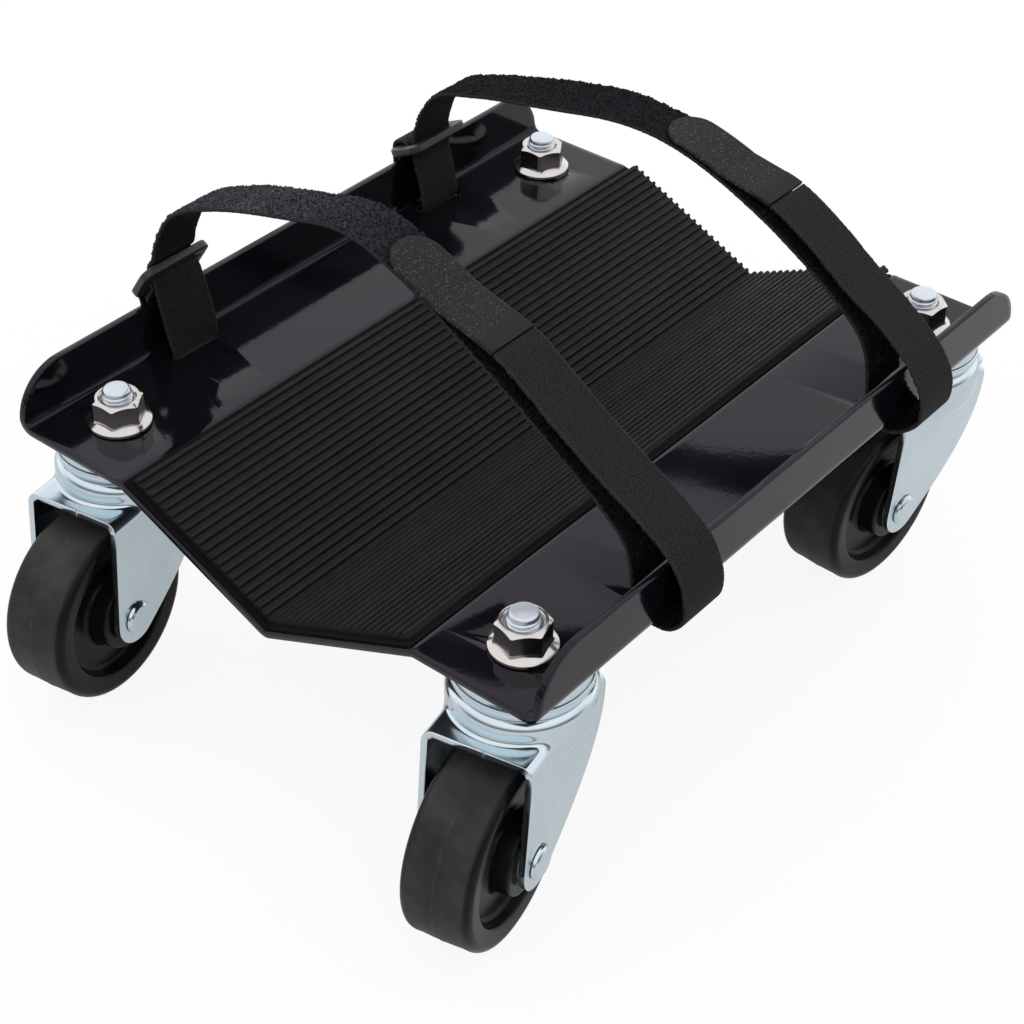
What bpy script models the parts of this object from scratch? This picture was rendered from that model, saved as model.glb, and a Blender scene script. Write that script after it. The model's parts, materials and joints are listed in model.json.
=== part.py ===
"""Four-caster V-trough dolly with two cinch straps.

A folded steel deck has a shallow V trough lined with a ribbed rubber mat, and
an upright flange along each side. A swivel caster is bolted under each corner.
Each strap is sewn to a ring, wraps the left flange, arches over the trough,
wraps the right flange and comes back to stick on itself.

Metres, +Z up, floor at z = 0. +X is across the dolly and +Y runs along the
trough. Pieces are modelled about the middle of the deck, and one parent empty
moves that middle so that the origin lies under the middle of the whole object.
"""

import math

import bpy
import bmesh
from mathutils import Matrix

# Clearances
GAP = 0.0003                 # between pieces that touch
PIN_CLEARANCE = 0.0005       # radial room round a pin that turns

# Deck sheet
SHEET = 0.0030
DECK_LENGTH = 0.3110
DECK_WIDTH = 0.2560          # over the outer faces of the flanges
FLANGE_RISE = 0.0220         # flange edge above the flat top
FLANGE_CORNER = 0.0215       # corner radius at each flange end
TROUGH_WIDTH = 0.1450        # between the two fold lines
TROUGH_DEPTH = 0.0330
BEND_RADIUS = 0.0030         # inside radius of every fold
BEND_STEPS = 3
BOLT_SIDE_INSET = 0.0277     # bolt from the flange's outer face
BOLT_END_INSET = 0.0262      # bolt from the end of the deck

# Rubber mat
MAT_BASE = 0.0024
RIB_HEIGHT = 0.0014
RIB_WIDTH = 0.0021
RIB_PITCH = 0.0037
RIBS_PER_SLOPE = 20
MAT_MARGIN = 0.0006          # plain band outside the last rib
MAT_CREASE = 0.0016          # plain band beside the middle of the trough
MAT_END_INSET = 0.0010
MAT_SHIFT = 0.0024           # laid towards the rear end

# Straps
STRAP_WIDTH = 0.0225
STRAP_THICK = 0.0018
STRAP_END_INSET = 0.0790     # middle of each strap from the end of the deck
SLOT_WIDTH = 0.0060
SLOT_LENGTH = 0.0275
SLOT_INSET = 0.0115          # slot middle from the flange's outer face
HOOK_TAPE_LENGTH = 0.0560
STITCHED_TAIL = 0.0120       # sewn end below the ring

# Strap ring
RING_LENGTH = 0.0348         # along the strap's width
RING_HOLE_ROOM = 0.0018      # beside each edge of the strap
RING_BAR = 0.0050
RING_THICK = 0.0032
RING_BAR_SPACING = 0.0128
RING_CORNER = 0.0045

# Caster heights, from the floor up
WHEEL_RADIUS = 0.0381
CROWN_CLEARANCE = 0.0083     # tread to the underside of the crown
FORK_SHEET = 0.0025
DOME_RISE = 0.0090
RACE_RING_HEIGHT = 0.0038
TOP_RACE_HEIGHT = 0.0043

# Wheel
WHEEL_WIDTH = 0.0290
SHOULDER_RADIUS = 0.0036
RIM_RADIUS = 0.0285          # inner edge of the side face
WEB_HALF = 0.0085            # half thickness of the web
RIM_LAND = 0.0135            # side face from the middle plane
BOSS_RADIUS = 0.0150
AXLE_RADIUS = 0.0050
SLEEVE_WALL = 0.0017
BUSHING_WALL = 0.0014
BOSS_END_GAP = 0.0015        # hub boss to the fork leg
WHEEL_SEGMENTS = 20

# Fork
CASTER_OFFSET = 0.0272       # axle behind the swivel axis
FORK_WIDTH = 0.0430          # over the outer faces of the legs
FORK_FRONT = 0.0330          # front edge of the crown from the swivel axis
FORK_BACK = 0.0220           # rear edge of the legs at the crown
FORK_BEND = 0.0045           # outside radius of the crown's side bends
LEG_END_RADIUS = 0.0110
LEG_SWEEP = 0.0220           # length of the rear edge's lower handle
FLARE_DROP = 0.0190          # where the side flare dies out below the crown
DOME_RADIUS = 0.0271
DOME_SHOULDER = 0.0040
AXLE_HEAD_RADIUS = 0.0068
AXLE_HEAD_THICK = 0.0020

# Swivel bearing and its bolt
RACE_RADIUS = 0.0250
RACE_RING_RADIUS = 0.0256
BALL_CIRCLE = 0.0175
BALL_RADIUS = 0.0020
GROOVE_RADIUS = 0.0029       # at the corners of the faceted groove
BALL_COUNT = 8
CAGE_RADIUS = 0.0008
LOWER_RACE_RADIUS = 0.0130
LOWER_RACE_THICK = 0.0020
STUD_RADIUS = 0.0060
STUD_TIP_RADIUS = 0.0048
STUD_RISE = 0.0162           # stud tip above the flat top
BOLT_HEAD_RADIUS = 0.0095
BOLT_HEAD_THICK = 0.0045
NUT_FLATS = 0.0180
NUT_HEIGHT = 0.0118
NUT_FLANGE_RADIUS = 0.0125
NUT_FLANGE_EDGE = 0.0012
NUT_FLANGE_HEIGHT = 0.0032
TURN_SEGMENTS = 12
RACE_SEGMENTS = 16
DOME_SEGMENTS = 20

# Casters: name, side, end and swivel angle at rest
CASTERS = (
    ("front_left", -1, -1, math.radians(8.6)),
    ("front_right", 1, -1, math.radians(11.5)),
    ("rear_left", -1, 1, math.radians(4.0)),
    ("rear_right", 1, 1, math.radians(-4.0)),
)

# Levels that follow from the sizes above
AXLE_Z = WHEEL_RADIUS
CROWN_UNDER = 2 * WHEEL_RADIUS + CROWN_CLEARANCE
CROWN_TOP = CROWN_UNDER + FORK_SHEET
DOME_TOP = CROWN_TOP + DOME_RISE
RACE_RING_LOW = DOME_TOP + GAP
RACE_RING_TOP = RACE_RING_LOW + RACE_RING_HEIGHT
TOP_RACE_LOW = RACE_RING_TOP + GAP
TOP_RACE_TOP = TOP_RACE_LOW + TOP_RACE_HEIGHT
DECK_UNDER = TOP_RACE_TOP + GAP
DECK_TOP = DECK_UNDER + SHEET
HALF_WIDTH = DECK_WIDTH / 2
HALF_LENGTH = DECK_LENGTH / 2
BOLT_X = HALF_WIDTH - BOLT_SIDE_INSET
BOLT_Y = HALF_LENGTH - BOLT_END_INSET
STRAP_Y = HALF_LENGTH - STRAP_END_INSET
SLOT_X = HALF_WIDTH - SLOT_INSET
ENVELOPE_FRONT = BOLT_Y + CASTER_OFFSET + WHEEL_RADIUS
DECK_SHIFT = (ENVELOPE_FRONT - HALF_LENGTH) / 2


def clear_scene():
    """Remove every object, so that the model starts from nothing."""
    for obj in list(bpy.data.objects):
        bpy.data.objects.remove(obj, do_unlink=True)


def new_collection(name):
    """A collection linked under the scene."""
    collection = bpy.data.collections.new(name)
    bpy.context.scene.collection.children.link(collection)
    return collection


def new_material(name, colour, roughness, metallic=0.0):
    """A Principled surface."""
    material = bpy.data.materials.new(name)
    material.use_nodes = True
    shader = material.node_tree.nodes["Principled BSDF"]
    shader.inputs["Base Color"].default_value = (*colour, 1.0)
    shader.inputs["Roughness"].default_value = roughness
    shader.inputs["Metallic"].default_value = metallic
    return material


def add_object(name, data, collection, parent=None, matrix=None):
    """An object of the given data, placed in its parent's frame."""
    obj = bpy.data.objects.new(name, data)
    collection.objects.link(obj)
    obj.parent = parent
    if matrix is not None:
        obj.matrix_local = matrix
    return obj


def add_piece(name, data, parent, material, matrix=None):
    """A finished piece of the dolly with its own material."""
    obj = add_object(name, data, PARTS, parent, matrix)
    if not data.materials:
        data.materials.append(material)
    return obj


def smooth(mesh, angle=35.0):
    """Smooth shading with sharp edges kept."""
    mesh.shade_smooth()
    mesh.set_sharp_from_angle(angle=math.radians(angle))


def evaluated_mesh(obj):
    """The object's mesh with its modifiers applied, welded."""
    bpy.context.view_layer.update()
    graph = bpy.context.evaluated_depsgraph_get()
    mesh = bpy.data.meshes.new_from_object(obj.evaluated_get(graph))
    work = bmesh.new()
    work.from_mesh(mesh)
    bmesh.ops.remove_doubles(work, verts=work.verts, dist=1e-6)
    work.to_mesh(mesh)
    work.free()
    return mesh


def bake(obj, name):
    """Turn a construction object into a mesh and remove the object."""
    mesh = evaluated_mesh(obj)
    mesh.transform(obj.matrix_world)
    mesh.name = name
    bpy.data.objects.remove(obj, do_unlink=True)
    return mesh


def cutter(name, mesh):
    """A construction body that is left out of the finished dolly."""
    obj = add_object(name, mesh, CUTTERS)
    obj.hide_render = True
    obj.display_type = "WIRE"
    return obj


def boolean(obj, other, operation):
    """An exact Boolean with another construction body."""
    modifier = obj.modifiers.new(operation.title(), "BOOLEAN")
    modifier.object = other
    modifier.operation = operation
    modifier.solver = "EXACT"


def bezier(start, handle_a, handle_b, end, steps):
    """Points of a cubic Bezier curve, without its first point."""
    points = []
    for i in range(1, steps + 1):
        t = i / steps
        u = 1 - t
        weights = (u ** 3, 3 * u * u * t, 3 * u * t * t, t ** 3)
        corners = (start, handle_a, handle_b, end)
        points.append(tuple(sum(w * c[k] for w, c in zip(weights, corners)) for k in (0, 1)))
    return points


def arc(centre, radius, first, last, steps):
    """Points of an arc, angles in degrees, both ends included."""
    points = []
    for i in range(steps + 1):
        angle = math.radians(first + (last - first) * i / steps)
        points.append((centre[0] + radius * math.cos(angle), centre[1] + radius * math.sin(angle)))
    return points


def fillet(before, corner, after, radius, steps):
    """Points of the arc that rounds one corner of a path."""
    a = (before[0] - corner[0], before[1] - corner[1])
    b = (after[0] - corner[0], after[1] - corner[1])
    a_len, b_len = math.hypot(*a), math.hypot(*b)
    a = (a[0] / a_len, a[1] / a_len)
    b = (b[0] / b_len, b[1] / b_len)
    half = math.acos(max(-1.0, min(1.0, a[0] * b[0] + a[1] * b[1]))) / 2
    reach = radius / math.tan(half)
    middle = (a[0] + b[0], a[1] + b[1])
    scale = radius / math.sin(half) / math.hypot(*middle)
    centre = (corner[0] + middle[0] * scale, corner[1] + middle[1] * scale)
    first = (corner[0] + a[0] * reach, corner[1] + a[1] * reach)
    last = (corner[0] + b[0] * reach, corner[1] + b[1] * reach)
    angle_a = math.atan2(first[1] - centre[1], first[0] - centre[0])
    angle_b = math.atan2(last[1] - centre[1], last[0] - centre[0])
    turn = (angle_b - angle_a + math.pi) % (2 * math.pi) - math.pi
    return arc(centre, radius, math.degrees(angle_a), math.degrees(angle_a + turn), steps)


def spline(points, steps):
    """A smooth curve through the points (centripetal Catmull-Rom)."""
    ends = [(2 * points[0][0] - points[1][0], 2 * points[0][1] - points[1][1])]
    tail = [(2 * points[-1][0] - points[-2][0], 2 * points[-1][1] - points[-2][1])]
    chain = ends + list(points) + tail
    curve = [points[0]]
    for p0, p1, p2, p3 in zip(chain, chain[1:], chain[2:], chain[3:]):
        knots = [0.0]
        for a, b in ((p0, p1), (p1, p2), (p2, p3)):
            knots.append(knots[-1] + max(math.dist(a, b), 1e-9) ** 0.5)
        t0, t1, t2, t3 = knots
        for i in range(1, steps + 1):
            t = t1 + (t2 - t1) * i / steps
            point = []
            for k in (0, 1):
                a1 = (t1 - t) / (t1 - t0) * p0[k] + (t - t0) / (t1 - t0) * p1[k]
                a2 = (t2 - t) / (t2 - t1) * p1[k] + (t - t1) / (t2 - t1) * p2[k]
                a3 = (t3 - t) / (t3 - t2) * p2[k] + (t - t2) / (t3 - t2) * p3[k]
                b1 = (t2 - t) / (t2 - t0) * a1 + (t - t0) / (t2 - t0) * a2
                b2 = (t3 - t) / (t3 - t1) * a2 + (t - t1) / (t3 - t1) * a3
                point.append((t2 - t) / (t2 - t1) * b1 + (t - t1) / (t2 - t1) * b2)
            curve.append(tuple(point))
    return curve


def thinned(points, tolerance):
    """The path with points dropped where it stays within the tolerance."""
    if len(points) < 3:
        return list(points)
    (ax, ay), (bx, by) = points[0], points[-1]
    length = math.hypot(bx - ax, by - ay) or 1e-9
    worst, index = 0.0, 0
    for i, (px, py) in enumerate(points[1:-1], 1):
        off = abs((bx - ax) * (py - ay) - (by - ay) * (px - ax)) / length
        if off > worst:
            worst, index = off, i
    if worst <= tolerance:
        return [points[0], points[-1]]
    return thinned(points[: index + 1], tolerance)[:-1] + thinned(points[index:], tolerance)


def path_length(points):
    """Length of a path."""
    return sum(math.dist(a, b) for a, b in zip(points, points[1:]))


def turned_profile(name, profile, closed):
    """The half section of a turned piece, as (radius, height) points."""
    mesh = bpy.data.meshes.new(name)
    edges = [(i, i + 1) for i in range(len(profile) - 1)]
    if closed:
        edges.append((len(profile) - 1, 0))
    mesh.from_pydata([(r, 0.0, z) for r, z in profile], edges, [])
    return mesh


def turn(obj, segments):
    """Turn a half section round its own Z axis."""
    screw = obj.modifiers.new("Turn", "SCREW")
    screw.axis = "Z"
    screw.angle = math.tau
    screw.steps = segments
    screw.render_steps = segments
    screw.use_merge_vertices = True
    screw.merge_threshold = 1e-6
    screw.use_smooth_shade = True


def turned_mesh(name, profile, segments, closed=True):
    """A turned solid as a mesh of its own."""
    obj = add_object(name, turned_profile(name, profile, closed), CUTTERS)
    turn(obj, segments)
    mesh = bake(obj, name)
    smooth(mesh)
    return mesh


def prism_mesh(name, outline, depth):
    """A flat outline in XZ given a depth along Y, centred."""
    curve = bpy.data.curves.new(name, "CURVE")
    curve.dimensions = "2D"
    curve.fill_mode = "BOTH"
    curve.extrude = depth / 2
    path = curve.splines.new("POLY")
    path.points.add(len(outline) - 1)
    path.points.foreach_set("co", [v for x, z in outline for v in (x, z, 0.0, 1.0)])
    path.use_cyclic_u = True
    obj = add_object(name, curve, CUTTERS, matrix=Matrix.Rotation(math.pi / 2, 4, "X"))
    bpy.context.view_layer.update()
    return bake(obj, name)


def cylinder_mesh(name, radius, depth, segments, matrix):
    """A closed cylinder."""
    mesh = bpy.data.meshes.new(name)
    work = bmesh.new()
    bmesh.ops.create_cone(
        work, cap_ends=True, segments=segments, radius1=radius, radius2=radius, depth=depth, matrix=matrix
    )
    work.to_mesh(mesh)
    work.free()
    return mesh


def joined_mesh(name, meshes):
    """Several construction bodies in one mesh."""
    work = bmesh.new()
    for mesh in meshes:
        work.from_mesh(mesh)
    mesh = bpy.data.meshes.new(name)
    work.to_mesh(mesh)
    work.free()
    return mesh


def ribbon_mesh(name, path, half_widths, thickness):
    """A band of even thickness along a path in XZ, with its own half width at each point."""
    count = len(path)
    verts = [(x, -w, z) for (x, z), w in zip(path, half_widths)]
    verts += [(x, w, z) for (x, z), w in zip(path, half_widths)]
    faces = [(i, i + 1, count + i + 1, count + i) for i in range(count - 1)]
    mesh = bpy.data.meshes.new(name)
    mesh.from_pydata(verts, [], faces)
    obj = add_object(name, mesh, CUTTERS)
    solidify = obj.modifiers.new("Sheet", "SOLIDIFY")
    solidify.thickness = thickness
    solidify.offset = 0.0
    solidify.use_even_offset = True
    return bake(obj, name)


def deck_section():
    """Middle line of the folded sheet, from the left flange edge to the right one."""
    middle = SHEET / 2
    wall = HALF_WIDTH - middle
    flat = DECK_TOP - middle
    corners = [
        (-wall, DECK_TOP + FLANGE_RISE),
        (-wall, flat),
        (-TROUGH_WIDTH / 2, flat),
        (0.0, flat - TROUGH_DEPTH),
        (TROUGH_WIDTH / 2, flat),
        (wall, flat),
        (wall, DECK_TOP + FLANGE_RISE),
    ]
    path = []
    for before, corner, after in zip(corners, corners[1:], corners[2:]):
        path += fillet(before, corner, after, BEND_RADIUS + middle, BEND_STEPS)
    edge = DECK_TOP + FLANGE_RISE
    foot = path[0][1]
    rise = [foot + (edge - foot) * math.sin(math.pi / 2 * i / 6) for i in range(1, 7)]
    left = [(-wall, z) for z in reversed(rise)]
    right = [(wall, z) for z in rise]
    return left + path + right


def deck_half_length(z):
    """Half length of the sheet at a height, drawn in round the flange corners."""
    above = z - (DECK_TOP + FLANGE_RISE - FLANGE_CORNER)
    if above <= 0:
        return HALF_LENGTH
    return HALF_LENGTH - FLANGE_CORNER + math.sqrt(max(FLANGE_CORNER ** 2 - above ** 2, 0.0))


def build_deck(parent, material):
    """The folded deck with its bolt holes and strap slots."""
    path = deck_section()
    mesh = ribbon_mesh("deck_sheet", path, [deck_half_length(z) for _, z in path], SHEET)
    deck = add_piece("deck_plate", mesh, parent, material)
    tools = []
    hole = STUD_RADIUS + PIN_CLEARANCE
    for side in (-1, 1):
        for end in (-1, 1):
            place = Matrix.Translation((side * BOLT_X, end * BOLT_Y, DECK_TOP - SHEET / 2))
            tools.append(cylinder_mesh("bolt_hole", hole, 4 * SHEET, TURN_SEGMENTS, place))
            slot = bpy.data.meshes.new("strap_slot")
            work = bmesh.new()
            bmesh.ops.create_cube(work, size=1.0)
            bmesh.ops.scale(work, vec=(SLOT_WIDTH, SLOT_LENGTH, 4 * SHEET), verts=work.verts)
            upright = [e for e in work.edges if abs(e.verts[0].co.z - e.verts[1].co.z) > SHEET]
            bmesh.ops.bevel(
                work, geom=upright, offset=SLOT_WIDTH * 0.4, segments=2, affect="EDGES", profile=0.5
            )
            place = Matrix.Translation((side * SLOT_X, end * STRAP_Y, DECK_TOP - SHEET / 2))
            bmesh.ops.transform(work, matrix=place, verts=work.verts)
            work.to_mesh(slot)
            work.free()
            tools.append(slot)
    holes = cutter("deck_openings", joined_mesh("deck_openings", tools))
    holes.parent = parent
    boolean(deck, holes, "DIFFERENCE")
    return deck


def mat_outline():
    """Section of the ribbed mat: ribs along each slope, laid on the trough."""
    run = math.hypot(TROUGH_WIDTH / 2, TROUGH_DEPTH)
    along = (TROUGH_WIDTH / 2 / run, TROUGH_DEPTH / run)
    lift = (-along[1], along[0])
    sheet_top = SHEET / 2 * (1 / along[0] - 1)
    floor = (0.0, DECK_TOP - TROUGH_DEPTH + sheet_top)

    def on_slope(distance, height):
        x = floor[0] + along[0] * distance + lift[0] * height
        z = floor[1] + along[1] * distance + lift[1] * height
        return (x, z)

    slope = math.atan2(TROUGH_DEPTH, TROUGH_WIDTH / 2)
    rib_foot = GAP + MAT_BASE
    rib_top = rib_foot + RIB_HEIGHT
    draft = RIB_WIDTH * 0.12
    start = rib_foot * math.tan(slope) + MAT_CREASE
    top = []
    for i in range(RIBS_PER_SLOPE):
        near = start + i * RIB_PITCH
        far = near + RIB_WIDTH
        top += [
            on_slope(near, rib_foot),
            on_slope(near + draft, rib_top),
            on_slope(far - draft, rib_top),
            on_slope(far, rib_foot),
        ]
    edge = start + (RIBS_PER_SLOPE - 1) * RIB_PITCH + RIB_WIDTH + MAT_MARGIN
    top += [on_slope(edge, rib_foot), on_slope(edge, GAP)]
    crease_top = (0.0, floor[1] + rib_foot / math.cos(slope))
    bend = BEND_RADIUS
    reach = bend * math.tan(slope / 2) * 1.5
    under = [on_slope(reach * 2, GAP)]
    right = [crease_top] + top + under
    left = [(-x, z) for x, z in reversed(right[1:])]
    centre = (0.0, floor[1] + bend / math.cos(slope))
    first = -90 + math.degrees(slope)
    bottom = arc(centre, bend - GAP, first, -180 - first, 4)
    return right + bottom + left


def build_mat(parent, material):
    """The ribbed mat over both slopes of the trough."""
    mesh = prism_mesh("mat", mat_outline(), DECK_LENGTH - 2 * MAT_END_INSET)
    return add_piece("rubber_mat", mesh, parent, material, Matrix.Translation((0.0, MAT_SHIFT, 0.0)))


def ring_point(shape, along, out):
    """A point of the ring's section: along the ring from its lower bar, and in from its plane."""
    tilt, beyond, above = shape["ring"]
    lower_x = -HALF_WIDTH - beyond
    lower_z = DECK_TOP + FLANGE_RISE + above
    rise = (math.sin(tilt), math.cos(tilt))
    inward = (rise[1], -rise[0])
    x = lower_x + rise[0] * along + inward[0] * out
    z = lower_z + rise[1] * along + inward[1] * out
    return (x, z)


def sewn_end(shape):
    """Strap from its stitched tail, round the ring's lower bar, under the flange and into the left slot."""
    half = STRAP_THICK / 2
    tail_x = -HALF_WIDTH - GAP - half
    main_x = tail_x - STRAP_THICK - GAP
    edge = DECK_TOP + FLANGE_RISE
    slack = GAP + half + 0.0003
    side = RING_THICK / 2 + slack
    end = RING_BAR / 2 + slack
    round_bar = [
        (-RING_BAR / 2, side - 0.0001),
        (RING_BAR / 2, side),
        (end, RING_THICK / 2),
        (end, -RING_THICK / 2),
        (RING_BAR / 2, -side),
        (-RING_BAR / 2, -side),
    ]
    return [
        (tail_x, edge - 0.0045 - STITCHED_TAIL),
        (tail_x, edge - 0.0045),
    ] + [ring_point(shape, along, out) for along, out in round_bar] + [
        (main_x - 0.0009, edge - 0.0070),
        (main_x - 0.0003, DECK_TOP + 0.0040),
        (-HALF_WIDTH - 0.0010, DECK_UNDER - 0.0016),
        (-HALF_WIDTH + 0.0050, DECK_UNDER - 0.0034),
        (-SLOT_X - 0.0016, DECK_UNDER - 0.0008),
        (-SLOT_X + 0.0004, DECK_TOP),
    ]


def through_ring(shape):
    """Strap up the inside of the left flange and out through the ring under its upper bar."""
    half = STRAP_THICK / 2
    edge = RING_BAR_SPACING - RING_BAR / 2 - GAP - half
    side = RING_THICK / 2 + GAP + half
    top = DECK_TOP + FLANGE_RISE
    past_bar = RING_BAR + GAP + half
    passing = [
        (edge - 0.0032, side + 0.0024),
        (edge - 0.0003, side * 0.55),
        (edge - 0.0001, -side * 0.55),
    ] + [(edge + share * past_bar, -side - lift) for share, lift in shape["leave"]]
    return [
        (-SLOT_X - 0.0004, DECK_TOP + 0.0080),
        (-HALF_WIDTH + 0.0078, top - 0.0010),
    ] + [ring_point(shape, along, out) for along, out in passing]


def right_wrap(shape):
    """Strap down through the right slot, under the flange and up its outer side."""
    top = DECK_TOP + FLANGE_RISE
    bulge, sag = shape["bulge"], shape["sag"]
    return [
        (SLOT_X - 0.0008, DECK_TOP + 0.0005),
        (SLOT_X + 0.0012, DECK_UNDER - sag * 0.55),
        (HALF_WIDTH - 0.0035, DECK_UNDER - sag),
        (HALF_WIDTH + 0.0028, DECK_UNDER - sag * 0.4),
        (HALF_WIDTH + bulge - 0.0010, DECK_TOP + 0.0020),
        (HALF_WIDTH + bulge, DECK_TOP + 0.0085),
        (HALF_WIDTH + bulge - 0.0012, DECK_TOP + 0.0150),
        (HALF_WIDTH + 0.0030, top + 0.0030),
    ]


def lifted(path, distance, lift):
    """A point at a distance along a path, moved to the right of it by a lift."""
    before = point_along(path, distance - 0.0010)
    x, z = point_along(path, distance)
    after = point_along(path, distance + 0.0010)
    dx, dz = after[0] - before[0], after[1] - before[1]
    length = math.hypot(dx, dz)
    return (x + dz / length * lift, z - dx / length * lift)


def strap_routes(shape):
    """Route of one strap up to its seam, and the route of its hook tape from there."""
    left = [(-HALF_WIDTH + x, DECK_TOP + z) for x, z in shape["left"]]
    crest = [(x, DECK_TOP + z) for x, z in shape["crest"]]
    right = [(HALF_WIDTH - x, DECK_TOP + z) for x, z in shape["right"]]
    rising = through_ring(shape)
    start = spline(sewn_end(shape) + rising, 8)
    wrap = right_wrap(shape)
    arch = spline(rising[-1:] + left + crest + right + wrap[:1], 8)
    homeward = list(reversed(arch))
    over = (HALF_WIDTH - shape["over"][0], DECK_TOP + shape["over"][1])
    loose = [over] + [lifted(homeward, distance, lift) for distance, lift in shape["lifts"]]
    landing, tip = shape["lap"]
    count = 12
    lying = []
    for i in range(count + 1):
        lying.append(lifted(homeward, landing + (tip - landing) * i / count, STRAP_THICK + GAP))
    back = spline(wrap + loose + lying[:1], 8) + lying[1:]
    split = len(back) - 1
    while path_length(back[split:]) < HOOK_TAPE_LENGTH:
        split -= 1
    seam = back[split]
    butt = back[split + 1]
    reach = math.dist(seam, butt)
    tape_start = tuple(s + (b - s) * GAP / reach for s, b in zip(seam, butt))
    strap = start[:-1] + arch[:-1] + back[: split + 1]
    tape = [tape_start] + back[split + 1:]
    return thinned(strap, 0.00034), tape


def point_along(path, distance):
    """The point at a distance along a path."""
    for a, b in zip(path, path[1:]):
        step = math.dist(a, b)
        if distance <= step:
            return tuple(p + (q - p) * distance / step for p, q in zip(a, b))
        distance -= step
    return path[-1]


def round_tip(path, radius, steps):
    """A path with stations for a round end, and the half width at each of them."""
    total = path_length(path)
    count = len(path)
    while count > 2 and path_length(path[:count]) > total - radius:
        count -= 1
    stations = thinned(path[:count], 0.00008)
    widths = [radius] * len(stations)
    for i in range(steps + 1):
        angle = math.pi / 2 * i / steps
        stations.append(point_along(path, total - radius + radius * math.sin(angle)))
        widths.append(max(radius * math.cos(angle), radius * 0.12))
    return stations, widths


def build_strap(name, end, shape, parent, webbing, hook_tape):
    """One strap and the hook tape welded to its free end."""
    place = Matrix.Translation((0.0, end * STRAP_Y, 0.0))
    strap, tape = strap_routes(shape)
    mesh = ribbon_mesh(name, strap, [STRAP_WIDTH / 2] * len(strap), STRAP_THICK)
    add_piece(f"{name}_strap", mesh, parent, webbing, place)
    tape, widths = round_tip(tape, STRAP_WIDTH / 2, 6)
    mesh = ribbon_mesh(f"{name}_tape", tape, widths, STRAP_THICK)
    add_piece(f"{name}_hook_tape", mesh, parent, hook_tape, place)


def rounded_rectangle(half_x, half_z, corner, steps):
    """Outline of a rectangle with round corners, counter-clockwise."""
    points = []
    for sx, sz, first in ((1, 1, 0), (-1, 1, 90), (-1, -1, 180), (1, -1, 270)):
        centre = (sx * (half_x - corner), sz * (half_z - corner))
        points += arc(centre, corner, first, first + 90, steps)
    return points


def build_ring(name, end, shape, parent, material):
    """The moulded ring that each strap is sewn to and threads through."""
    outer = (RING_LENGTH / 2, (RING_BAR_SPACING + RING_BAR) / 2)
    hole = (STRAP_WIDTH / 2 + RING_HOLE_ROOM, (RING_BAR_SPACING - RING_BAR) / 2)
    curve = bpy.data.curves.new(name, "CURVE")
    curve.dimensions = "2D"
    curve.fill_mode = "BOTH"
    curve.extrude = RING_THICK / 2 - RING_THICK * 0.2
    curve.bevel_depth = RING_THICK * 0.2
    curve.bevel_resolution = 0
    for (half_x, half_z), corner, steps in ((outer, RING_CORNER, 3), (hole, RING_CORNER * 0.3, 1)):
        inset = curve.bevel_depth if corner == RING_CORNER else -curve.bevel_depth
        outline = rounded_rectangle(half_x - inset, half_z - inset, corner, steps)
        path = curve.splines.new("POLY")
        path.points.add(len(outline) - 1)
        path.points.foreach_set("co", [v for x, z in outline for v in (x, z, 0.0, 1.0)])
        path.use_cyclic_u = True
    middle_x, middle_z = ring_point(shape, RING_BAR_SPACING / 2, 0.0)
    place = Matrix.Translation((middle_x, end * STRAP_Y, middle_z))
    place = place @ Matrix.Rotation(shape["ring"][0], 4, "Y")
    place = place @ Matrix.Rotation(math.pi / 2, 4, "Z") @ Matrix.Rotation(math.pi / 2, 4, "X")
    obj = add_object(name, curve, CUTTERS)
    mesh = bake(obj, name)
    smooth(mesh)
    add_piece(f"{name}_strap_ring", mesh, parent, material, place)


def wheel_profile():
    """Half section of the wheel about its axle: tread, shoulders, rim, web and hub boss."""
    tread = WHEEL_RADIUS / math.cos(math.pi / WHEEL_SEGMENTS)
    half = WHEEL_WIDTH / 2
    bore = AXLE_RADIUS + 3 * GAP + SLEEVE_WALL + BUSHING_WALL
    boss_end = FORK_WIDTH / 2 - FORK_SHEET - BOSS_END_GAP
    shoulder = arc((tread - SHOULDER_RADIUS, half - SHOULDER_RADIUS), SHOULDER_RADIUS, 90, 0, 2)
    upper = [
        (bore, boss_end),
        (BOSS_RADIUS, boss_end),
        (BOSS_RADIUS + 0.0006, WEB_HALF),
        (RIM_RADIUS - 0.0012, WEB_HALF),
        (RIM_RADIUS, RIM_LAND),
    ] + shoulder
    lower = [(r, -z) for r, z in reversed(upper)]
    return upper + lower


def tube_profile(inner, outer, low, high):
    """Half section of a plain tube or washer."""
    return [(inner, high), (outer, high), (outer, low), (inner, low)]


def axle_profile():
    """Half section of the axle rivet with a head outside each leg."""
    seat = FORK_WIDTH / 2 + GAP
    end = seat + AXLE_HEAD_THICK
    upper = [
        (0.0, end),
        (AXLE_HEAD_RADIUS - 0.0008, end),
        (AXLE_HEAD_RADIUS, seat),
        (AXLE_RADIUS, seat),
    ]
    return upper + [(r, -z) for r, z in reversed(upper)]


def kingpin_profile():
    """Half section of the swivel bolt: stud tip, shank and head under the crown."""
    tip = DECK_TOP + STUD_RISE
    head_top = DOME_TOP - FORK_SHEET - 2 * GAP - LOWER_RACE_THICK
    head_low = head_top - BOLT_HEAD_THICK
    return [
        (0.0, tip),
        (STUD_TIP_RADIUS, tip),
        (STUD_RADIUS, tip - (STUD_RADIUS - STUD_TIP_RADIUS)),
        (STUD_RADIUS, head_top),
        (BOLT_HEAD_RADIUS, head_top),
        (BOLT_HEAD_RADIUS, head_low + 0.0010),
        (BOLT_HEAD_RADIUS - 0.0010, head_low),
        (0.0, head_low),
    ]


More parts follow.
